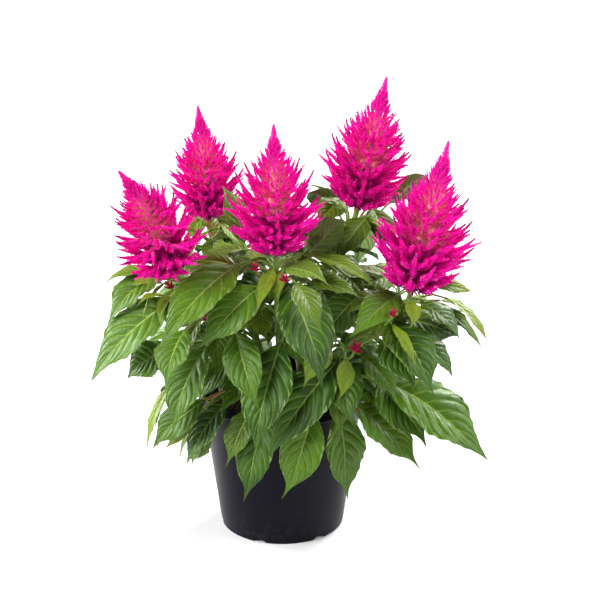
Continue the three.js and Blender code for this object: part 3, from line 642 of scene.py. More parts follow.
def meets_pot(points):
    """Whether a point is in or too near the pot, its rim or the peat."""
    radius, z = np.hypot(points[:, 0], points[:, 1]), points[:, 2]
    rim_bottom = SHOULDER - POT_ROOM
    beside_wall = (z < rim_bottom) & (radius < pot_outside(z) + POT_ROOM)
    at_rim = (z >= rim_bottom) & (z <= POT_HEIGHT + POT_ROOM) & (radius <= POT_RIM + POT_ROOM)
    return (beside_wall | at_rim & ((radius > POT_TOP - RIM_ROOM) | (z < SOIL_TOP + SOIL_CLEAR))).any()


def meets_plumes(points):
    """Whether a point is in or too near the outline of a plume."""
    for _, base, tip in STEMS.values():
        axis = np.subtract(tip, base)
        length = np.linalg.norm(axis)
        height = (points - base) @ axis / length
        away = np.linalg.norm(points - base - height[:, None] * axis / length, axis=1)
        reach = length * np.interp(height / length, *zip(*PLUME_OUTLINE)) + ROOM
        if ((height >= -ROOM) & (height <= length + ROOM) & (away < reach)).any():
            return True
    return False


def near(points, others, distance):
    """Whether a point lies nearer than a distance to one of the others."""
    return (np.linalg.norm(points[:, None] - others, axis=2) < distance).any()


def make_stalk(stem, foot, size):
    """A side bud's foot, way and size, the ball round it that leaves keep clear of, and its stalk's curve."""
    foot = np.array(foot, float)
    way = unit(skyward(foot))
    ball = (foot[None] + way * size / 2, BUD_BALL * size + BUD_ROOM)
    path = branch(node_on_stem(stem, foot), foot, way)
    return {"stem": stem, "foot": foot, "way": way, "size": size, "ball": ball, "path": path}


STALKS = [make_stalk(*bud) for bud in BUDS]


def meets_stems(stem, points):
    """Whether points meet a stem or stalk that isn't their own, or any bud."""
    t = np.linspace(0, 1, 31)
    others = [path for i, path in enumerate(PATHS) if i != stem]
    stalks = [stalk["path"] for stalk in STALKS if stalk["stem"] != stem]
    return (
        any(near(points, bezier(path, t)[0], STEM_FOOT + ROOM) for path in others)
        or any(near(points, bezier(path, t[::2])[0], STEM_TIP) for path in stalks)
        or any(near(points, *stalk["ball"]) for stalk in STALKS)
    )


def crosses(points, leaf):
    """
    Whether points that pass over or under a blade lie on both sides of it, or too near it. A point's rise is
    its distance from the nearest sample along the way out from the upper face there.
    """
    gaps = points[:, None] - leaf["skin"]
    nearest = (gaps**2).sum(2).argmin(1)
    gap = gaps[np.arange(len(points)), nearest]
    rise = (gap * leaf["faces"][nearest]).sum(1)
    beside = np.sqrt(np.maximum((gap**2).sum(1) - rise**2, 0))
    rise = rise[(beside < leaf["footprint"]) & (np.abs(rise) < ABOVE)]
    return not ((rise < -CLEARANCE).all() or (rise > CLEARANCE).all())


def has_room(leaf, placed):
    """Whether a leaf has room among what is placed; leaves of one stem may meet near their heels."""
    if meets_pot(leaf["points"]) or meets_plumes(leaf["points"]) or meets_stems(leaf["stem"], leaf["points"]):
        return False
    for other in placed:
        part = "outer" if other["stem"] == leaf["stem"] else "points"
        apart = np.linalg.norm(other["middle"] - leaf["middle"]) - other["radius"] - leaf["radius"]
        if apart < ABOVE and (crosses(leaf[part], other) or crosses(other[part], leaf)):
            return False
    return True


def tier_leaf(tier, place, row):
    """The row of a leaf in a tier: its heel and tip stand on two circles, and the nearest stem carries it."""
    count, start, end, heel_radius, heel_height, tip_radius, tip_height, width = row
    strays = enumerate(STRAY.items(), 1)
    stray = {kind: reach * (scatter(place, 10 * i + tier) - 0.5) for i, (kind, reach) in strays}
    angle = math.radians(start + (end - start) * (place + 0.5) / count + stray["angle"])
    swing = angle + stray["swing"]
    heel = np.array([heel_radius * math.cos(angle), heel_radius * math.sin(angle), heel_height])
    tip = (tip_radius * math.cos(swing), tip_radius * math.sin(swing), tip_height + stray["drop"])
    away = [np.linalg.norm(bezier(path, np.linspace(0, 1, 31))[0] - heel, axis=1).min() for path in PATHS]
    return (int(np.argmin(away)), heel, tip, width * (1 + stray["width"]), 0)


def chance_leaf(stem, ranges):
    """The row of a leaf that leaves a stem at a chance height and bearing, and hangs outwards."""
    draw = {name: between(ends, crown_chance.random()) for name, ends in ranges.items()}
    bearing, droop = TURN * crown_chance.random(), math.radians(draw["droop"])
    out = np.array([math.cos(bearing), math.sin(bearing), 0])
    heel = bezier(PATHS[stem], [draw["climb"]])[0][0] + draw["reach"] * (out + draw["rise"] * UP)
    tip = heel + draw["length"] * (out * math.cos(droop) - UP * math.sin(droop))
    return (stem, heel, tip, draw["length"] * draw["slim"], draw["roll"])


def in_crown(tip):
    """Whether a tip stays inside the outer leaves."""
    radius = np.hypot(tip[0], tip[1])
    return CROWN_RADIUS[0] < radius < CROWN_RADIUS[1] and CROWN_HEIGHTS[0] < tip[2] < CROWN_HEIGHTS[1]


def place_leaves():
    """
    All leaves. One with a row is lifted or lowered by the least that gives it room, and left out where none
    does. Then the collars and the inner leaves are drawn, and those that have room stay.
    """
    rows = LEAVES + [tier_leaf(i, k, row) for i, row in enumerate(TIERS) for k in range(row[0])] + MORE_LEAVES
    placed = []
    for number, row in enumerate(rows):
        for lift in LIFTS:
            leaf = sample_leaf(shape_leaf(row, number, lift))
            if has_room(leaf, placed):
                placed.append(leaf)
                break
    for stem in range(len(STEMS)):
        full = len(placed) + COLLAR_LEAVES
        for _ in range(COLLAR_TRIES):
            leaf = sample_leaf(shape_leaf(chance_leaf(stem, COLLAR), len(rows) + len(placed), 0))
            if len(placed) < full and has_room(leaf, placed):
                placed.append(leaf)
    full = len(placed) + INNER_LEAVES
    while len(placed) < full:
        row = chance_leaf(int(crown_chance.integers(len(STEMS))), INNER)
        if in_crown(row[2]):
            leaf = sample_leaf(shape_leaf(row, len(rows) + len(placed), 0))
            if has_room(leaf, placed):
                placed.append(leaf)
    return placed


# vein pairs and how they arch, the rings from one to the next on a wide and on a small blade, and the others
VEINS, VEIN_SLANT, VEIN_ARCH = 9, 0.75, 0.85
VEIN_ROWS, SMALL_ROWS, SMALL = 6, 4, 27
HEEL_RING, TIP_RINGS = 0.006, (0.975, 0.992)
HALF_ACROSS = np.array([1, 0.84, 0.66, 0.48, 0.3, 0.1])
# the fine blade's outline and drip tip, its relief in half widths, and its thickness and rib in millimetres
HEEL_TAPER, TIP_TAPER, NICK = 1.08, 1.45, 0.05
DRIP_AT, DRIP_LONG, DRIP_LEAST, DRIP_RANGE, HOOK, HOOK_FROM = 0.9, 0.13, 0.2, 0.45, 5.0, 0.66
QUILT, FLUTE, FLUTES = 0.095, 0.045, 2.3
BLADE_THICK, THINNED, RIB, RIB_WIDE = 0.34, 1.5, 0.95, 0.09
# a petiole's radius at either end, less on a small leaf; and the widths of a grown and of the youngest leaf
PETIOLE, PETIOLE_ROWS, PETIOLE_SLIM, PETIOLE_FULL = (1.25, 0.9), 7, 0.55, 60
GROWN, YOUNGEST = 24, 12
STEM_ROD = {"radii": (STEM_FOOT, STEM_TIP), "rows": 40, "columns": 20, "ridges": 5}
STALK_ROD = {"radii": (1.1, 0.8), "rows": 9, "columns": 8, "ridges": 0}


def tip_hook(leaf, t):
    """The drip tip's bend, aside and down: it starts at two thirds of the blade and grows as a square."""
    share = np.maximum(np.asarray(t, float) - HOOK_FROM, 0) / (1 - HOOK_FROM)
    aside = 2 * scatter(leaf["number"], 4) - 1
    return (HOOK * share**2)[..., None] * (leaf["side"] * aside - 0.5 * UP)


def quilting(leaf, s, t, v):
    """
    What the fine face adds to the blade's rise: between the veins it swells as the sine of the vein count,
    and another sine flutes its margin.
    """
    edge = np.abs(v)
    count = VEINS * s + 0.5 * (v < 0)
    swell = np.abs(np.sin(math.pi * count)) ** 0.8 * np.minimum(edge / 0.2, 1)
    swell = swell * (1 - edge**3) * (1 - t) ** 0.3
    flute = edge**4 * np.sin(TURN * (FLUTES * VEINS * t / 2 + leaf["phase"] * (3 + (v > 0))))
    return QUILT * swell + FLUTE * flute


def fine_width(leaf, t, v):
    """Half the fine blade's width: a bell curve draws it in at the drip tip, and chance nicks the margin."""
    drip = DRIP_LEAST + DRIP_RANGE * scatter(leaf["number"], 3)
    drawn_in = 1 - drip * np.exp(-(((t - DRIP_AT) / DRIP_LONG) ** 2))
    chance = scatter(np.arange(t.size), leaf["number"]).reshape(t.shape)
    nicks = 1 + NICK * (chance - 0.5) * (np.abs(v) > 0.95)
    return half_width(leaf, t, HEEL_TAPER, TIP_TAPER) * drawn_in * nicks


def fine_blade(leaf):
    """
    The blade as one closed tube, flat across: each ring runs over the upper face and back under the lower
    one, where a rib stands out. Rings follow the veins, which arch forwards: t = 1 - (1 - s) to a power that
    grows with |v| and its cube.
    """
    upper = np.concatenate([HALF_ACROSS, [0], -HALF_ACROSS[::-1]])
    v = np.concatenate([upper, upper[-2:0:-1]])
    face = np.concatenate([np.ones(len(upper)), -np.ones(len(v) - len(upper))])
    face[[0, len(upper) - 1]] = 0
    rows = VEINS * (VEIN_ROWS if leaf["width"] > SMALL else SMALL_ROWS)
    s = np.concatenate([[HEEL_RING], np.arange(1, rows - 1) / rows, TIP_RINGS])[:, None]
    edge = np.abs(v)
    t = 1 - (1 - s) ** (1 + VEIN_SLANT * edge + VEIN_ARCH * edge**3)
    half = fine_width(leaf, t, v)
    rise = blade_rise(leaf, t, v) + quilting(leaf, s, t, v)
    rib = RIB * (1 - t) ** 1.4 * np.exp(-((v / RIB_WIDE) ** 2))
    thick = np.where(face > 0, BLADE_THICK / 2, -BLADE_THICK / 2 - rib) * (face != 0)
    thick = thick * np.minimum(half / THINNED, 1)
    at, across, over = (part.reshape(*t.shape, 3) for part in blade_frame(leaf, t.ravel()))
    at = at + tip_hook(leaf, t)
    rings = at + across * (half * v)[..., None] + over * (half * rise + thick)[..., None]
    return rings, {"across": v + 0 * t, "along": s + 0 * t, "upper": (face + 1) / 2 + 0 * t, "stalk": 0 * t}


def frame_about(axis):
    """Two ways square to each axis, such that across, over and axis are right-handed."""
    across = unit(np.cross([0.0, 1.0, 0.0], axis))
    return across, np.cross(axis, across)


def ring_ways(across, over, columns):
    """Ways round each ring: across times the cosine of the turn and over times its sine."""
    turns = TURN * np.arange(columns) / columns
    return across[:, None] * np.cos(turns)[:, None] + over[:, None] * np.sin(turns)[:, None]


def fine_leaf(leaf):
    """A round petiole that runs into the blade, as one closed loft."""
    blade, marks = fine_blade(leaf)
    columns = blade.shape[1]
    t = np.linspace(0, 1, PETIOLE_ROWS)
    at, along = bezier(leaf["petiole"], t)
    across = unit(leaf["side"] - (along @ leaf["side"])[:, None] * along)
    slim = min(1, PETIOLE_SLIM + leaf["width"] / PETIOLE_FULL)
    radius = slim * between(PETIOLE, t)[:, None, None]
    petiole = at[:, None] + radius * ring_ways(across, np.cross(along, across), columns)
    rings = np.concatenate([petiole, blade])[None]
    points, faces = lofts(rings, leaf["petiole"][:1], leaf["blade"][2:] + tip_hook(leaf, [1]))
    flat = np.ones((PETIOLE_ROWS, columns))
    lead = {"across": 0 * flat, "along": 0 * flat, "upper": flat, "stalk": flat}
    full = {name: np.concatenate([lead[name], marks[name]])[None] for name in marks}
    full = {name: listed(values, values[:, 0, 0], values[:, -1, 0]) for name, values in full.items()}
    young = np.clip((GROWN - leaf["width"]) / (GROWN - YOUNGEST), 0, 1)
    full |= {"young": np.full(len(points), young), "tint": np.full(len(points), scatter(leaf["number"], 5))}
    return points, faces, full


def fine_rod(path, radii, rows, columns, ridges, below=None):
    """A rod that tapers along a curve, ridged by a cosine round it; it may start from a point below."""
    t = np.linspace(0, 1, rows)
    at, along = bezier(path, t)
    if below is not None:
        at, along, t = np.vstack([below, at]), np.vstack([UP, along]), np.concatenate([[0], t])
    turns = TURN * np.arange(columns) / columns
    radius = between(radii, t)[:, None] * (1 + 0.05 * np.cos(ridges * turns))
    rings = at[:, None] + radius[..., None] * ring_ways(*frame_about(along), columns)
    points, faces = lofts(rings[None], at[:1], at[-1:])
    whole = np.ones(len(points))
    marks = {"across": 0 * whole, "along": 0 * whole, "upper": whole, "stalk": whole, "young": 0 * whole}
    return points, faces, marks | {"tint": 0.5 * whole}


def foliage():
    """
    Green leaves, glossy over the quilting, with pale midribs and veins, a paler underside and thin bronze
    margins; young leaves are yellower. Petioles and stems are pale green, flushed with red in places.
    """
    finish = Finish("foliage", Specular_IOR_Level=0.3)
    across, along, tint, young = (finish.mark(name) for name in ("across", "along", "tint", "young"))
    edge = abs(across)
    count = VEINS * along + 0.5 * (across < 0)
    vein = count.ripple().step(0.14, 0.02) * edge.step(1.0, 0.75)
    midrib = (edge + 0.05 * along).step(0.075, 0.035)
    lines = vein + midrib - vein * midrib
    cloud = finish.noise(38, 3)
    fine = finish.noise(420, 4)
    green = finish.mix(cloud.step(0.3, 0.7), colour(29, 60, 1), colour(55, 93, 3))
    green = finish.mix(tint.step(0.1, 0.95) * 0.55, green, colour(86, 124, 12))
    green = finish.mix(fine.step(0.35, 0.75) * 0.3, green, colour(30, 54, 2))
    green = finish.mix(young * 0.55, green, colour(124, 140, 18))
    top = finish.mix(vein * 0.3, green, colour(136, 168, 70))
    top = finish.mix(midrib * 0.65, top, colour(160, 180, 88))
    margin = edge.step(0.93, 0.99) * finish.noise(60, 2).step(0.4, 0.7)
    top = finish.mix(margin * 0.5, top, colour(112, 70, 44))
    under = finish.mix(lines * 0.6, colour(104, 136, 62), colour(164, 182, 112))
    blade = finish.mix(finish.mark("upper").step(0.5, 0.56), under, top)
    flush = finish.noise(30, 2).step(0.5, 0.75)
    stalk = finish.mix(flush * 0.8, colour(112, 140, 58), colour(158, 72, 58))
    finish.feed("Base Color", finish.mix(finish.mark("stalk").step(0.3, 0.9), blade, stalk))
    finish.feed("Roughness", 0.32 + 0.2 * fine + 0.12 * cloud)
    finish.relief(0.25 * fine + 0.35 * (1 - lines) + 0.7 * finish.noise(210, 2), 0.6)
    return finish


leaf_finish = foliage()
leaves = place_leaves()
for number, (name, (foot, _, _)) in enumerate(STEMS.items()):
    parts = [fine_rod(PATHS[number], **STEM_ROD, below=np.array([*foot, STEM_HOLE]))]
    parts += [fine_leaf(leaf) for leaf in leaves if leaf["stem"] == number]
    parts += [fine_rod(stalk["path"], **STALK_ROD) for stalk in STALKS if stalk["stem"] == number]
    points, faces, marks = joined(parts)
    add_piece(f"foliage_{name}", points, faces, leaf_finish, "foliage", f"leafy_stem_{name}", marks)


# ---- Plumes ----
# Feathery flower heads, each grown on the end of its stem: a fleshy axis drawn out into a slender spire, set
# all round with upswept fingers. The fingers are clothed in hundreds of small, papery, pointed florets.

# the fingers' lattice round the axis and their shape, with lengths and radii as shares of the plume's height
COLUMNS, ROWS, BELLIED, TURNED = 7, 13, 7, 0.31
TOP, CROWDING, CORE, CORE_TAPER = 0.96, 1.05, 0.08, 0.6
REACH, SHORTEST, TAPER, FOOT_CUT, FOOT_SHARE, STRAY_LENGTH = 0.56, 0.03, 1.42, 0.86, 0.13, 0.28
LOWEST, STEEPEN, STEEPEST, SWAY, BELLY, BEND = 16, 46, 18, 0.26, 0.5, 0.55
THICK, THINNING, THICKEST_AT, CORE_END, CORE_ROWS, CORE_SIDES = 0.030, 0.75, 0.3, 0.94, 5, 5
INNER_LENGTH, INNER_SLOPE, INNER_THICK, INNER_REACH = 0.8, 5, 0.027, 0.8
FORK_AT, FORK_LENGTH, FORK_SPREAD, FORK_SLIM, FORK_CLOSE = 0.3, 0.55, 28, 0.75, 0.4
SPIRE_FINGERS, SPIRE, SPIRE_THICK, SPIRE_THINNING = 100, (0.47, 0.87), 0.0135, 1.1
SPIRE_CUT, SPIRE_CUT_FROM = 0.9, 0.6
AXIS_ROWS, AXIS_SIDES, AXIS_START, AXIS_END, AXIS_TIP = 26, 14, 0.004, 0.97, 0.985
# florets in millimetres, their lean from root to tip of a finger in degrees, and the fewest on one; a finger
# under the two radii has fewer and smaller ones
FLORET_LONG, FLORET_WIDE, FLORET_STEP, FLORET_LEAN, FEWEST = 3.3, 0.74, 0.45, (17, 5), 9
CROWDED_RADIUS, FULL_RADIUS = 2.8, 2.0
# those straight on the axis, at its foot and round the last of the spire: how many, and from the lowest to
# the highest their share of the height, their lean and their mark of reach
FOOT_FLORETS, FOOT, FOOT_LEAN, FOOT_REACH = 190, (0, FOOT_SHARE), (118, 68), (0, 0.5)
SPIRE_FLORETS, SPIRE_TIP, SPIRE_LEAN, SPIRE_REACH = 210, (0.78, 0.985), (48, 18), (0.3, 0.7)
GOLDEN = math.pi * (3 - math.sqrt(5))
# how far the middle of each plume's axis bows off the straight line, the way its fingers nod, and the factor
# of their length
HABITS = {
    "left": ((3, 0, 2), (0, -0.7, 0), 1.22),
    "back_left": ((1, 0, 0), (0, -0.2, 0), 1.04),
    "centre": ((0, 0, 0), (0, -0.45, 0), 1.22),
    "back_right": ((0, 0, 0), (0, -0.25, 0), 1.08),
    "right": ((0, 0, 0), (0, -0.35, 0), 1.05),
}
floret_chance = np.random.default_rng(23)


def ways_out(axis, angles):
    """The way out from each axis at an angle round it."""
    across, over = frame_about(axis)
    return across * np.cos(angles)[:, None] + over * np.sin(angles)[:, None]


def leaning(axis, out, degrees):
    """Ways that lean outwards from each axis, and the ways square to those, away from it."""
    lean = np.radians(degrees)[:, None]
    return axis * np.cos(lean) + out * np.sin(lean), out * np.cos(lean) - axis * np.sin(lean)


def florets(roots, ways, outs, lengths, widths, marks):
    """
    Narrow pointed florets: each is a root, a belly of four points at two fifths of its length and a tip that
    bends outwards by a twelfth of it.
    """
    flat = ring_ways(np.cross(ways, outs), 0.5 * outs, 4)
    belly = (roots + 0.4 * lengths[:, None] * ways)[:, None] - widths[:, None, None] * flat
    tips = roots + lengths[:, None] * (ways + 0.08 * outs)
    points, faces = lofts(belly[:, None], roots, tips)
    full = {name: np.repeat(values, 6) for name, values in marks.items()}
    petal = np.tile([0.5] * 4 + [0, 1], len(roots))
    return points, faces, full | {"petal": petal, "chance": np.repeat(floret_chance.random(len(roots)), 6)}


def finger_places(number):
    """
    Share of the plume's height, turns round the axis and jitter of each finger. The long ones stand on a
    lattice whose rows are turned by half a cell, as many shorter ones in its gaps, and thin ones climb the
    spire at the golden angle.
    """
    row, column = (grid.ravel() for grid in np.mgrid[0:BELLIED, 0:COLUMNS])
    share = TOP * ((row / ROWS) ** CROWDING + ((row + 1) / ROWS) ** CROWDING) / 2
    turns = (column + 0.75 + row / 2 + TURNED * number) / COLUMNS
    jitter = scatter(COLUMNS * row + column, 50 + number) - 0.5
    climb = (np.arange(SPIRE_FINGERS) + 0.5) / SPIRE_FINGERS
    inner_jitter, spire_jitter = np.split(floret_chance.random(len(row) + SPIRE_FINGERS) - 0.5, [len(row)])
    shares = [share, share + 0.25 / ROWS, between(SPIRE, climb)]
    turns = [turns, turns + 0.5 / COLUMNS, np.arange(SPIRE_FINGERS) * GOLDEN / TURN]
    return np.concatenate(shares), np.concatenate(turns), np.concatenate([jitter, inner_jitter, spire_jitter])


def make_fingers(spine, nod, reach, height, number):
    """
    Fingers as curves of three controls: root, waist and tip. A finger's angle over the level grows with its
    share of the plume's height and that share's fourth power. The longest grow just above the plume's foot.
    All bend to the axis, which nods for them by a curve that is 1 at a third of the way up.
    """
    share, turns, jitter = finger_places(number)
    at, axis = bezier(spine, share)
    axis = unit(axis + np.array(nod) * (27 / 4 * share * (1 - share) ** 2)[:, None])
    count = BELLIED * COLUMNS
    kind = np.repeat(["long", "inner", "spire"], [count, count, SPIRE_FINGERS])
    inner, spire = kind == "inner", kind == "spire"
    out = ways_out(axis, TURN * turns)
    slope = np.radians(LOWEST + STEEPEN * share + STEEPEST * share**4 + INNER_SLOPE * inner) + SWAY * jitter
    way = out * np.cos(slope)[:, None] + axis * np.sin(slope)[:, None]
    taper = reach * REACH * (1 - share) ** TAPER * (1 - FOOT_CUT * np.exp(-share / FOOT_SHARE))
    taper = taper * np.where(inner, INNER_LENGTH, 1)
    taper = taper * np.where(spire, 1 - SPIRE_CUT * np.maximum(share - SPIRE_CUT_FROM, 0), 1)
    length = height * np.maximum(taper, SHORTEST) * (1 + STRAY_LENGTH * jitter)
    root = at + out * (height * CORE * (1 - share) ** CORE_TAPER)[:, None]
    waist = root + way * (BELLY * length)[:, None]
    tip = waist + unit(way + BEND * (axis - way)) * ((1 - BELLY) * length)[:, None]
    thick = np.where(inner, INNER_THICK, THICK) * (1 - THINNING * share)
    thick = np.where(spire, SPIRE_THICK * (1 - SPIRE_THINNING * (share - SPIRE[0])), thick)
    fingers = {"curve": np.stack([root, waist, tip]), "length": length, "share": share}
    fingers |= {"radius": height * thick, "tip_reach": np.where(inner, INNER_REACH, 1)}
    return fork(fingers, count)


def fork(fingers, count):
    """
    Gives each of the first fingers two side fingers: they leave it near a third of its length, one to either
    side, and bend back along it.
    """
    parent = np.tile(np.arange(count), 2)
    hand = np.repeat([1.0, -1.0], count)
    at, along, _ = on_finger(fingers, parent, np.full(len(parent), FORK_AT))
    aside = unit(np.cross(along, UP))
    jitter = floret_chance.random((2, len(parent))) - 0.5
    spread = np.radians(FORK_SPREAD * hand * (1 + 0.5 * jitter[0]))[:, None]
    way = along * np.cos(spread) + aside * np.sin(spread)
    length = FORK_LENGTH * fingers["length"][parent] * (1 + 0.5 * jitter[1])
    waist = at + way * (BELLY * length)[:, None]
    tip = waist + unit(way + FORK_CLOSE * (along - way)) * ((1 - BELLY) * length)[:, None]
    forks = {"length": length, "share": fingers["share"][parent]}
    forks |= {"radius": FORK_SLIM * fingers["radius"][parent], "tip_reach": np.full(len(parent), INNER_REACH)}
    both = {name: np.concatenate([fingers[name], forks[name]]) for name in forks}
    return both | {"curve": np.concatenate([fingers["curve"], np.stack([at, waist, tip])], axis=1)}


def on_finger(fingers, which, u):
    """
    Points and directions at u along fingers, and the core's radius there: six tenths of full at the root,
    full at three tenths of the way and nothing at the tip.
    """
    root, waist, tip = fingers["curve"][:, which]
    nose = np.maximum(u - THICKEST_AT, 0) / (1 - THICKEST_AT)
    spindle = (0.6 + 0.4 * np.minimum(u / THICKEST_AT, 1)) * (1 - nose**1.3)
    low, high = root + (waist - root) * u[:, None], waist + (tip - waist) * u[:, None]
    return low + (high - low) * u[:, None], unit(high - low), fingers["radius"][which] * spindle


def finger_cores(fingers):
    """The fleshy core of each finger, as a closed loft of five-sided rings that its florets all but hide."""
    count = len(fingers["length"])
    u = np.tile(np.linspace(0, CORE_END, CORE_ROWS), count)
    which = np.repeat(np.arange(count), CORE_ROWS)
    at, along, radius = on_finger(fingers, which, u)
    rings = at[:, None] + radius[:, None, None] * ring_ways(*frame_about(along), CORE_SIDES)
    rings = rings.reshape(count, CORE_ROWS, CORE_SIDES, 3)
    first, last = rings[:, 0].mean(1), rings[:, -1].mean(1)
    points, faces = lofts(rings, first, last + 0.02 * (last - first))
    reach = np.repeat(u * fingers["tip_reach"][which], CORE_SIDES).reshape(count, CORE_ROWS, CORE_SIDES)
    whole = np.ones(len(points))
    marks = {"reach": listed(reach, reach[:, 0, 0], reach[:, -1, 0]), "petal": 0.2 * whole}
    share = np.repeat(fingers["share"], CORE_ROWS * CORE_SIDES + 2)
    return points, faces, marks | {"share": share, "chance": 0.5 * whole}


def finger_florets(fingers, fewest=FEWEST):
    """Florets that climb each finger at the golden angle and lean out less towards its tip."""
    many = fingers["length"] / FLORET_STEP * np.minimum(fingers["radius"] / CROWDED_RADIUS, 1)
    many = np.maximum(many, fewest).astype(int)
    which = np.repeat(np.arange(len(many)), many)
    order = np.arange(many.sum()) - np.repeat(np.cumsum(many) - many, many)
    u = 0.1 + 0.87 * (order + 0.5) / many[which]
    at, along, radius = on_finger(fingers, which, u)
    out = ways_out(along, GOLDEN * order)
    way, square = leaning(along, out, between(FLORET_LEAN, u))
    size = 0.85 + 0.3 * floret_chance.random(len(u))
    size = size * np.minimum(fingers["radius"][which] / FULL_RADIUS, 1) ** 0.6
    lengths = np.minimum(FLORET_LONG * size * (1 - 0.25 * u), fingers["length"][which] * (1 - u) + 1.0)
    widths = FLORET_WIDE * size * (1 - 0.3 * u)
    marks = {"reach": u * fingers["tip_reach"][which], "share": fingers["share"][which]}
    return florets(at + out * (0.8 * radius)[:, None], way, square, lengths, widths, marks)


def axis_florets(spine, share, lean, radius, lengths, widths, reach):
    """Florets that climb the plume's axis at the golden angle, each with its radius off it and its lean."""
    at, axis = bezier(spine, share)
    out = ways_out(axis, GOLDEN * np.arange(len(share)))
    way, square = leaning(axis, out, lean)
    marks = {"reach": reach, "share": share}
    return florets(at + out * radius[:, None], way, square, lengths, widths, marks)


def foot_florets(spine, height):
    """Florets round the plume's foot: the lowest hang over its stem, and the highest point up and out."""
    climb = (np.arange(FOOT_FLORETS) + 0.5) / FOOT_FLORETS
    share, lean, reach = (between(ends, climb) for ends in (FOOT, FOOT_LEAN, FOOT_REACH))
    size = 0.9 + 0.7 * floret_chance.random(FOOT_FLORETS)
    radius, lengths, widths = height * (0.035 + 0.05 * climb), FLORET_LONG * size, 0.8 * FLORET_WIDE * size
    return axis_florets(spine, share, lean, radius, lengths, widths, reach)


def spire_florets(spine, height):
    """Florets round the last of the spire, shorter and steeper towards its point."""
    climb = (np.arange(SPIRE_FLORETS) + 0.5) / SPIRE_FLORETS
    share, lean, reach = (between(ends, climb) for ends in (SPIRE_TIP, SPIRE_LEAN, SPIRE_REACH))
    lengths = np.minimum(FLORET_LONG * (1 - 0.45 * climb), height * (1 - share))
    radius, widths = height * 0.028 * (1 - climb) ** 0.7, FLORET_WIDE * (1 - 0.5 * climb)
    return axis_florets(spine, share, lean, radius, lengths, widths, reach)


def plume_axis(spine, height):
    """The fleshy axis as one closed loft: it opens from a narrow foot, then tapers as a power of 1 - u."""
    u = np.linspace(AXIS_START, AXIS_END, AXIS_ROWS)
    at, axis = bezier(spine, u)
    radius = height * np.minimum(0.95 * CORE * (1 - u) ** 0.8, 0.035 + 0.9 * u)
    rings = at[:, None] + radius[:, None, None] * ring_ways(*frame_about(axis), AXIS_SIDES)
    points, faces = lofts(rings[None], spine[:1], bezier(spine, [AXIS_TIP])[0])
    whole = np.ones(len(points))
    marks = {"reach": 0 * whole, "petal": 0 * whole, "chance": 0.5 * whole}
    return points, faces, marks | {"share": np.concatenate([np.repeat(u, AXIS_SIDES), [0, 1]])}


def make_plume(base, tip, number):
    """
    A plume on an axis of three controls, of which the middle one stands off by twice the bow: the axis, its
    fingers' cores and florets, and the florets of its foot and its spire.
    """
    base, tip = np.array(base, float), np.array(tip, float)
    height = np.linalg.norm(tip - base)
    bow, nod, reach = HABITS[NAMES[number]]
    spine = np.array([base, (base + tip) / 2 + 2 * np.array(bow), tip])
    fingers = make_fingers(spine, nod, reach, height, number)
    parts = [plume_axis(spine, height), finger_cores(fingers), finger_florets(fingers)]
    return joined(parts + [foot_florets(spine, height), spire_florets(spine, height)])


def plume_finish():
    """
    Hot magenta florets, with painted shade that turns them wine-dark between the lower fingers, at the
    fingers' roots and towards the plume's foot; in part salmon near the axis half way up, with a painted
    highlight at the florets' tips, and smoky purple at the fingers' points. A few near the foot are pale
    pink. A faint glow stands for the light that passes through the petals.
    """
    finish = Finish("plume_florets", Roughness=0.6, Specular_IOR_Level=0.18, Emission_Strength=0.05)
    reach, share, petal, chance = (finish.mark(name) for name in ("reach", "share", "petal", "chance"))
    # painted shade: darker wine towards the plume's foot, and on the next line at the fingers' roots near the
    # axis, where the fingers shade each other
    painted_shade = finish.mix(share.step(0.05, 0.5), colour(140, 6, 94), colour(200, 2, 142))
    body = finish.mix(reach.step(0.05, 0.45), painted_shade, colour(226, 0, 162))
    body = finish.mix(chance.step(0.5, 1.0) * 0.5, body, colour(248, 16, 186))
    salmon = share.step(0.27, 0.36) * share.step(0.78, 0.6) * reach.step(0.5, 0.1) * chance.step(0.44, 0.55)
    body = finish.mix(salmon * 0.9, body, colour(255, 176, 172))
    # painted highlight: the florets' tips are lightened towards pale pink
    body = finish.mix(petal.step(0.55, 1.0) * 0.3, body, colour(255, 110, 200))
    smoky = reach.step(0.78, 0.94) * share.step(0.06, 0.3)
    body = finish.mix(smoky * 0.85, body, colour(92, 18, 82))
    pale = chance.step(0.93, 0.95) * share.step(0.3, 0.12) * petal.step(0.2, 0.7)
    body = finish.mix(pale * 0.55, body, colour(255, 200, 230))
    finish.feed("Base Color", body)
    finish.feed("Emission Color", body)
    return finish


floret_finish = plume_finish()
for number, (name, (_, base, tip)) in enumerate(STEMS.items()):
    points, faces, marks = make_plume(base, tip, number)
    add_piece(f"feather_{name}", points, faces, floret_finish, "plume", f"plume_{name}", marks, crease=50)


# ---- Side buds ----
# Young flower tufts in the leaf axils, each a few millimetres long on its thin stalk: knobs of short spikes,
# clothed in florets redder than the plumes', that will lengthen into small plumes.

SPIKES, SPIKE_LEAN, SPIKE_FLORETS, SPIKE_THICK = 7, 62, 22, 0.13


def make_bud(stalk):
    """Short fingers at the golden angle: the first upright and longest, the rest leaning by a square root."""
    way, size = stalk["way"], stalk["size"]
    order = np.arange(SPIKES) / SPIKES
    out = ways_out(way, GOLDEN * np.arange(SPIKES))
    aim, _ = leaning(way, out, SPIKE_LEAN * order**0.5)
    length = size * (0.95 - 0.4 * order) * (0.85 + 0.3 * floret_chance.random(SPIKES))
    foot = stalk["foot"] + GAP * way + 0 * aim
    tip = foot + aim * length[:, None]
    fingers = {"curve": np.stack([foot, (foot + tip) / 2, tip]), "length": length, "share": order}
    fingers |= {"radius": SPIKE_THICK * size * (1 - 0.3 * order), "tip_reach": np.ones(SPIKES)}
    return joined([finger_cores(fingers), finger_florets(fingers, SPIKE_FLORETS)])


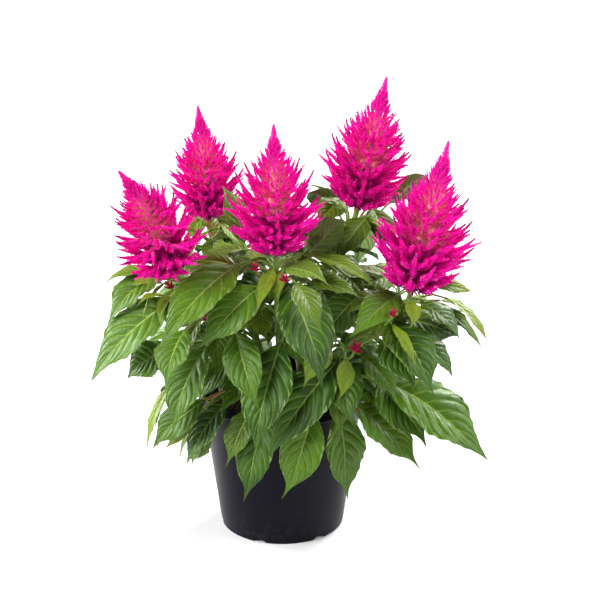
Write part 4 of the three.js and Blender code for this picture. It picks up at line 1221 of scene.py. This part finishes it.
def bud_finish():
    """Crimson to magenta florets, a little paler at their tips."""
    finish = Finish("bud_florets", Roughness=0.5, Specular_IOR_Level=0.2)
    petal, chance = finish.mark("petal"), finish.mark("chance")
    body = finish.mix(chance, colour(132, 8, 34), colour(198, 14, 96))
    finish.feed("Base Color", finish.mix(petal.step(0.5, 1.0) * 0.3, body, colour(226, 84, 120)))
    return finish


tuft_finish = bud_finish()
for number, stalk in enumerate(STALKS, 1):
    points, faces, marks = make_bud(stalk)
    node = f"side_bud_{number}"
    add_piece(f"tuft_{number}", points, faces, tuft_finish, "side_bud", node, marks, crease=50)


# ---- Studio ----
# A seamless pale floor under broad soft lights, and the camera a step away, looking a little down. Far from
# the plant the floor glows, so that low views end on white as well.

FLOOR_HALF, PAPER, GLOW = 14000.0, (0.64, 0.64, 0.64, 1), (0.8, 0.8, 0.8, 1)
GLOW_START, GLOW_FULL = 0.8, 3.0
TARGET = np.array([12.8, 0.0, 170.0])
DISTANCE, ELEVATION = 1700.0, 21.0
IMAGE, FOCAL_PIXELS = 600, 2408.6


def studio_floor():
    """A level square; its glow grows smoothly between two distances from the plant, in metres."""
    corners = FLOOR_HALF * np.array([[-1, -1, 0], [1, -1, 0], [1, 1, 0], [-1, 1, 0]], float)
    mesh = make_mesh("studio_floor", corners, np.array([[0, 1, 2], [0, 2, 3]]), {})
    finish = Finish("pale_paper", Base_Color=PAPER, Roughness=0.9, Emission_Strength=1.0)
    place = finish.node("ShaderNodeTexCoord", {}, {}, "Object")
    away = finish.node("ShaderNodeVectorMath", {"operation": "LENGTH"}, {0: place}, "Value")
    finish.feed("Emission Color", finish.mix(away.step(GLOW_START, GLOW_FULL), (0, 0, 0, 1), GLOW))
    mesh.materials.append(finish.material)
    floor = bpy.data.objects.new("studio_floor", mesh)
    bpy.context.scene.collection.objects.link(floor)


def look_along(way):
    """The rotation that turns an object's -Z along a direction, with its +Y kept upwards."""
    return Vector(way).to_track_quat("-Z", "Y").to_euler()


def soft_light(name, place, width, power):
    """A square area light that faces the middle of the plant."""
    light = bpy.data.lights.new(name, "AREA")
    light.size, light.energy = width * MM, power
    lamp = bpy.data.objects.new(name, light)
    lamp.location = (np.array(place) - MIDDLE) * MM
    lamp.rotation_euler = look_along(TARGET - np.array(place))
    bpy.context.scene.collection.objects.link(lamp)


studio_floor()
soft_light("left_box", (-1300, -600, 1100), 1100, 56)
soft_light("right_box", (1400, -300, 1000), 1000, 30)
soft_light("back_light", (900, 1200, 1300), 800, 72)
soft_light("rim_light", (-1400, 700, 400), 700, 34)
world = bpy.data.worlds.new("studio_air")
world.use_nodes = True
world.node_tree.nodes["Background"].inputs["Color"].default_value = (1, 1, 1, 1)
world.node_tree.nodes["Background"].inputs["Strength"].default_value = 0.17
bpy.context.scene.world = world
bpy.context.scene.view_settings.view_transform = "Standard"

lens = bpy.data.cameras.new("camera")
lens.sensor_width = 36
lens.lens = FOCAL_PIXELS * lens.sensor_width / IMAGE
camera = bpy.data.objects.new("camera", lens)
slope = math.radians(ELEVATION)
back = np.array([0, -math.cos(slope), math.sin(slope)])
camera.location = (TARGET - MIDDLE + DISTANCE * back) * MM
camera.rotation_euler = look_along(-back)
bpy.context.scene.collection.objects.link(camera)
bpy.context.scene.camera = camera
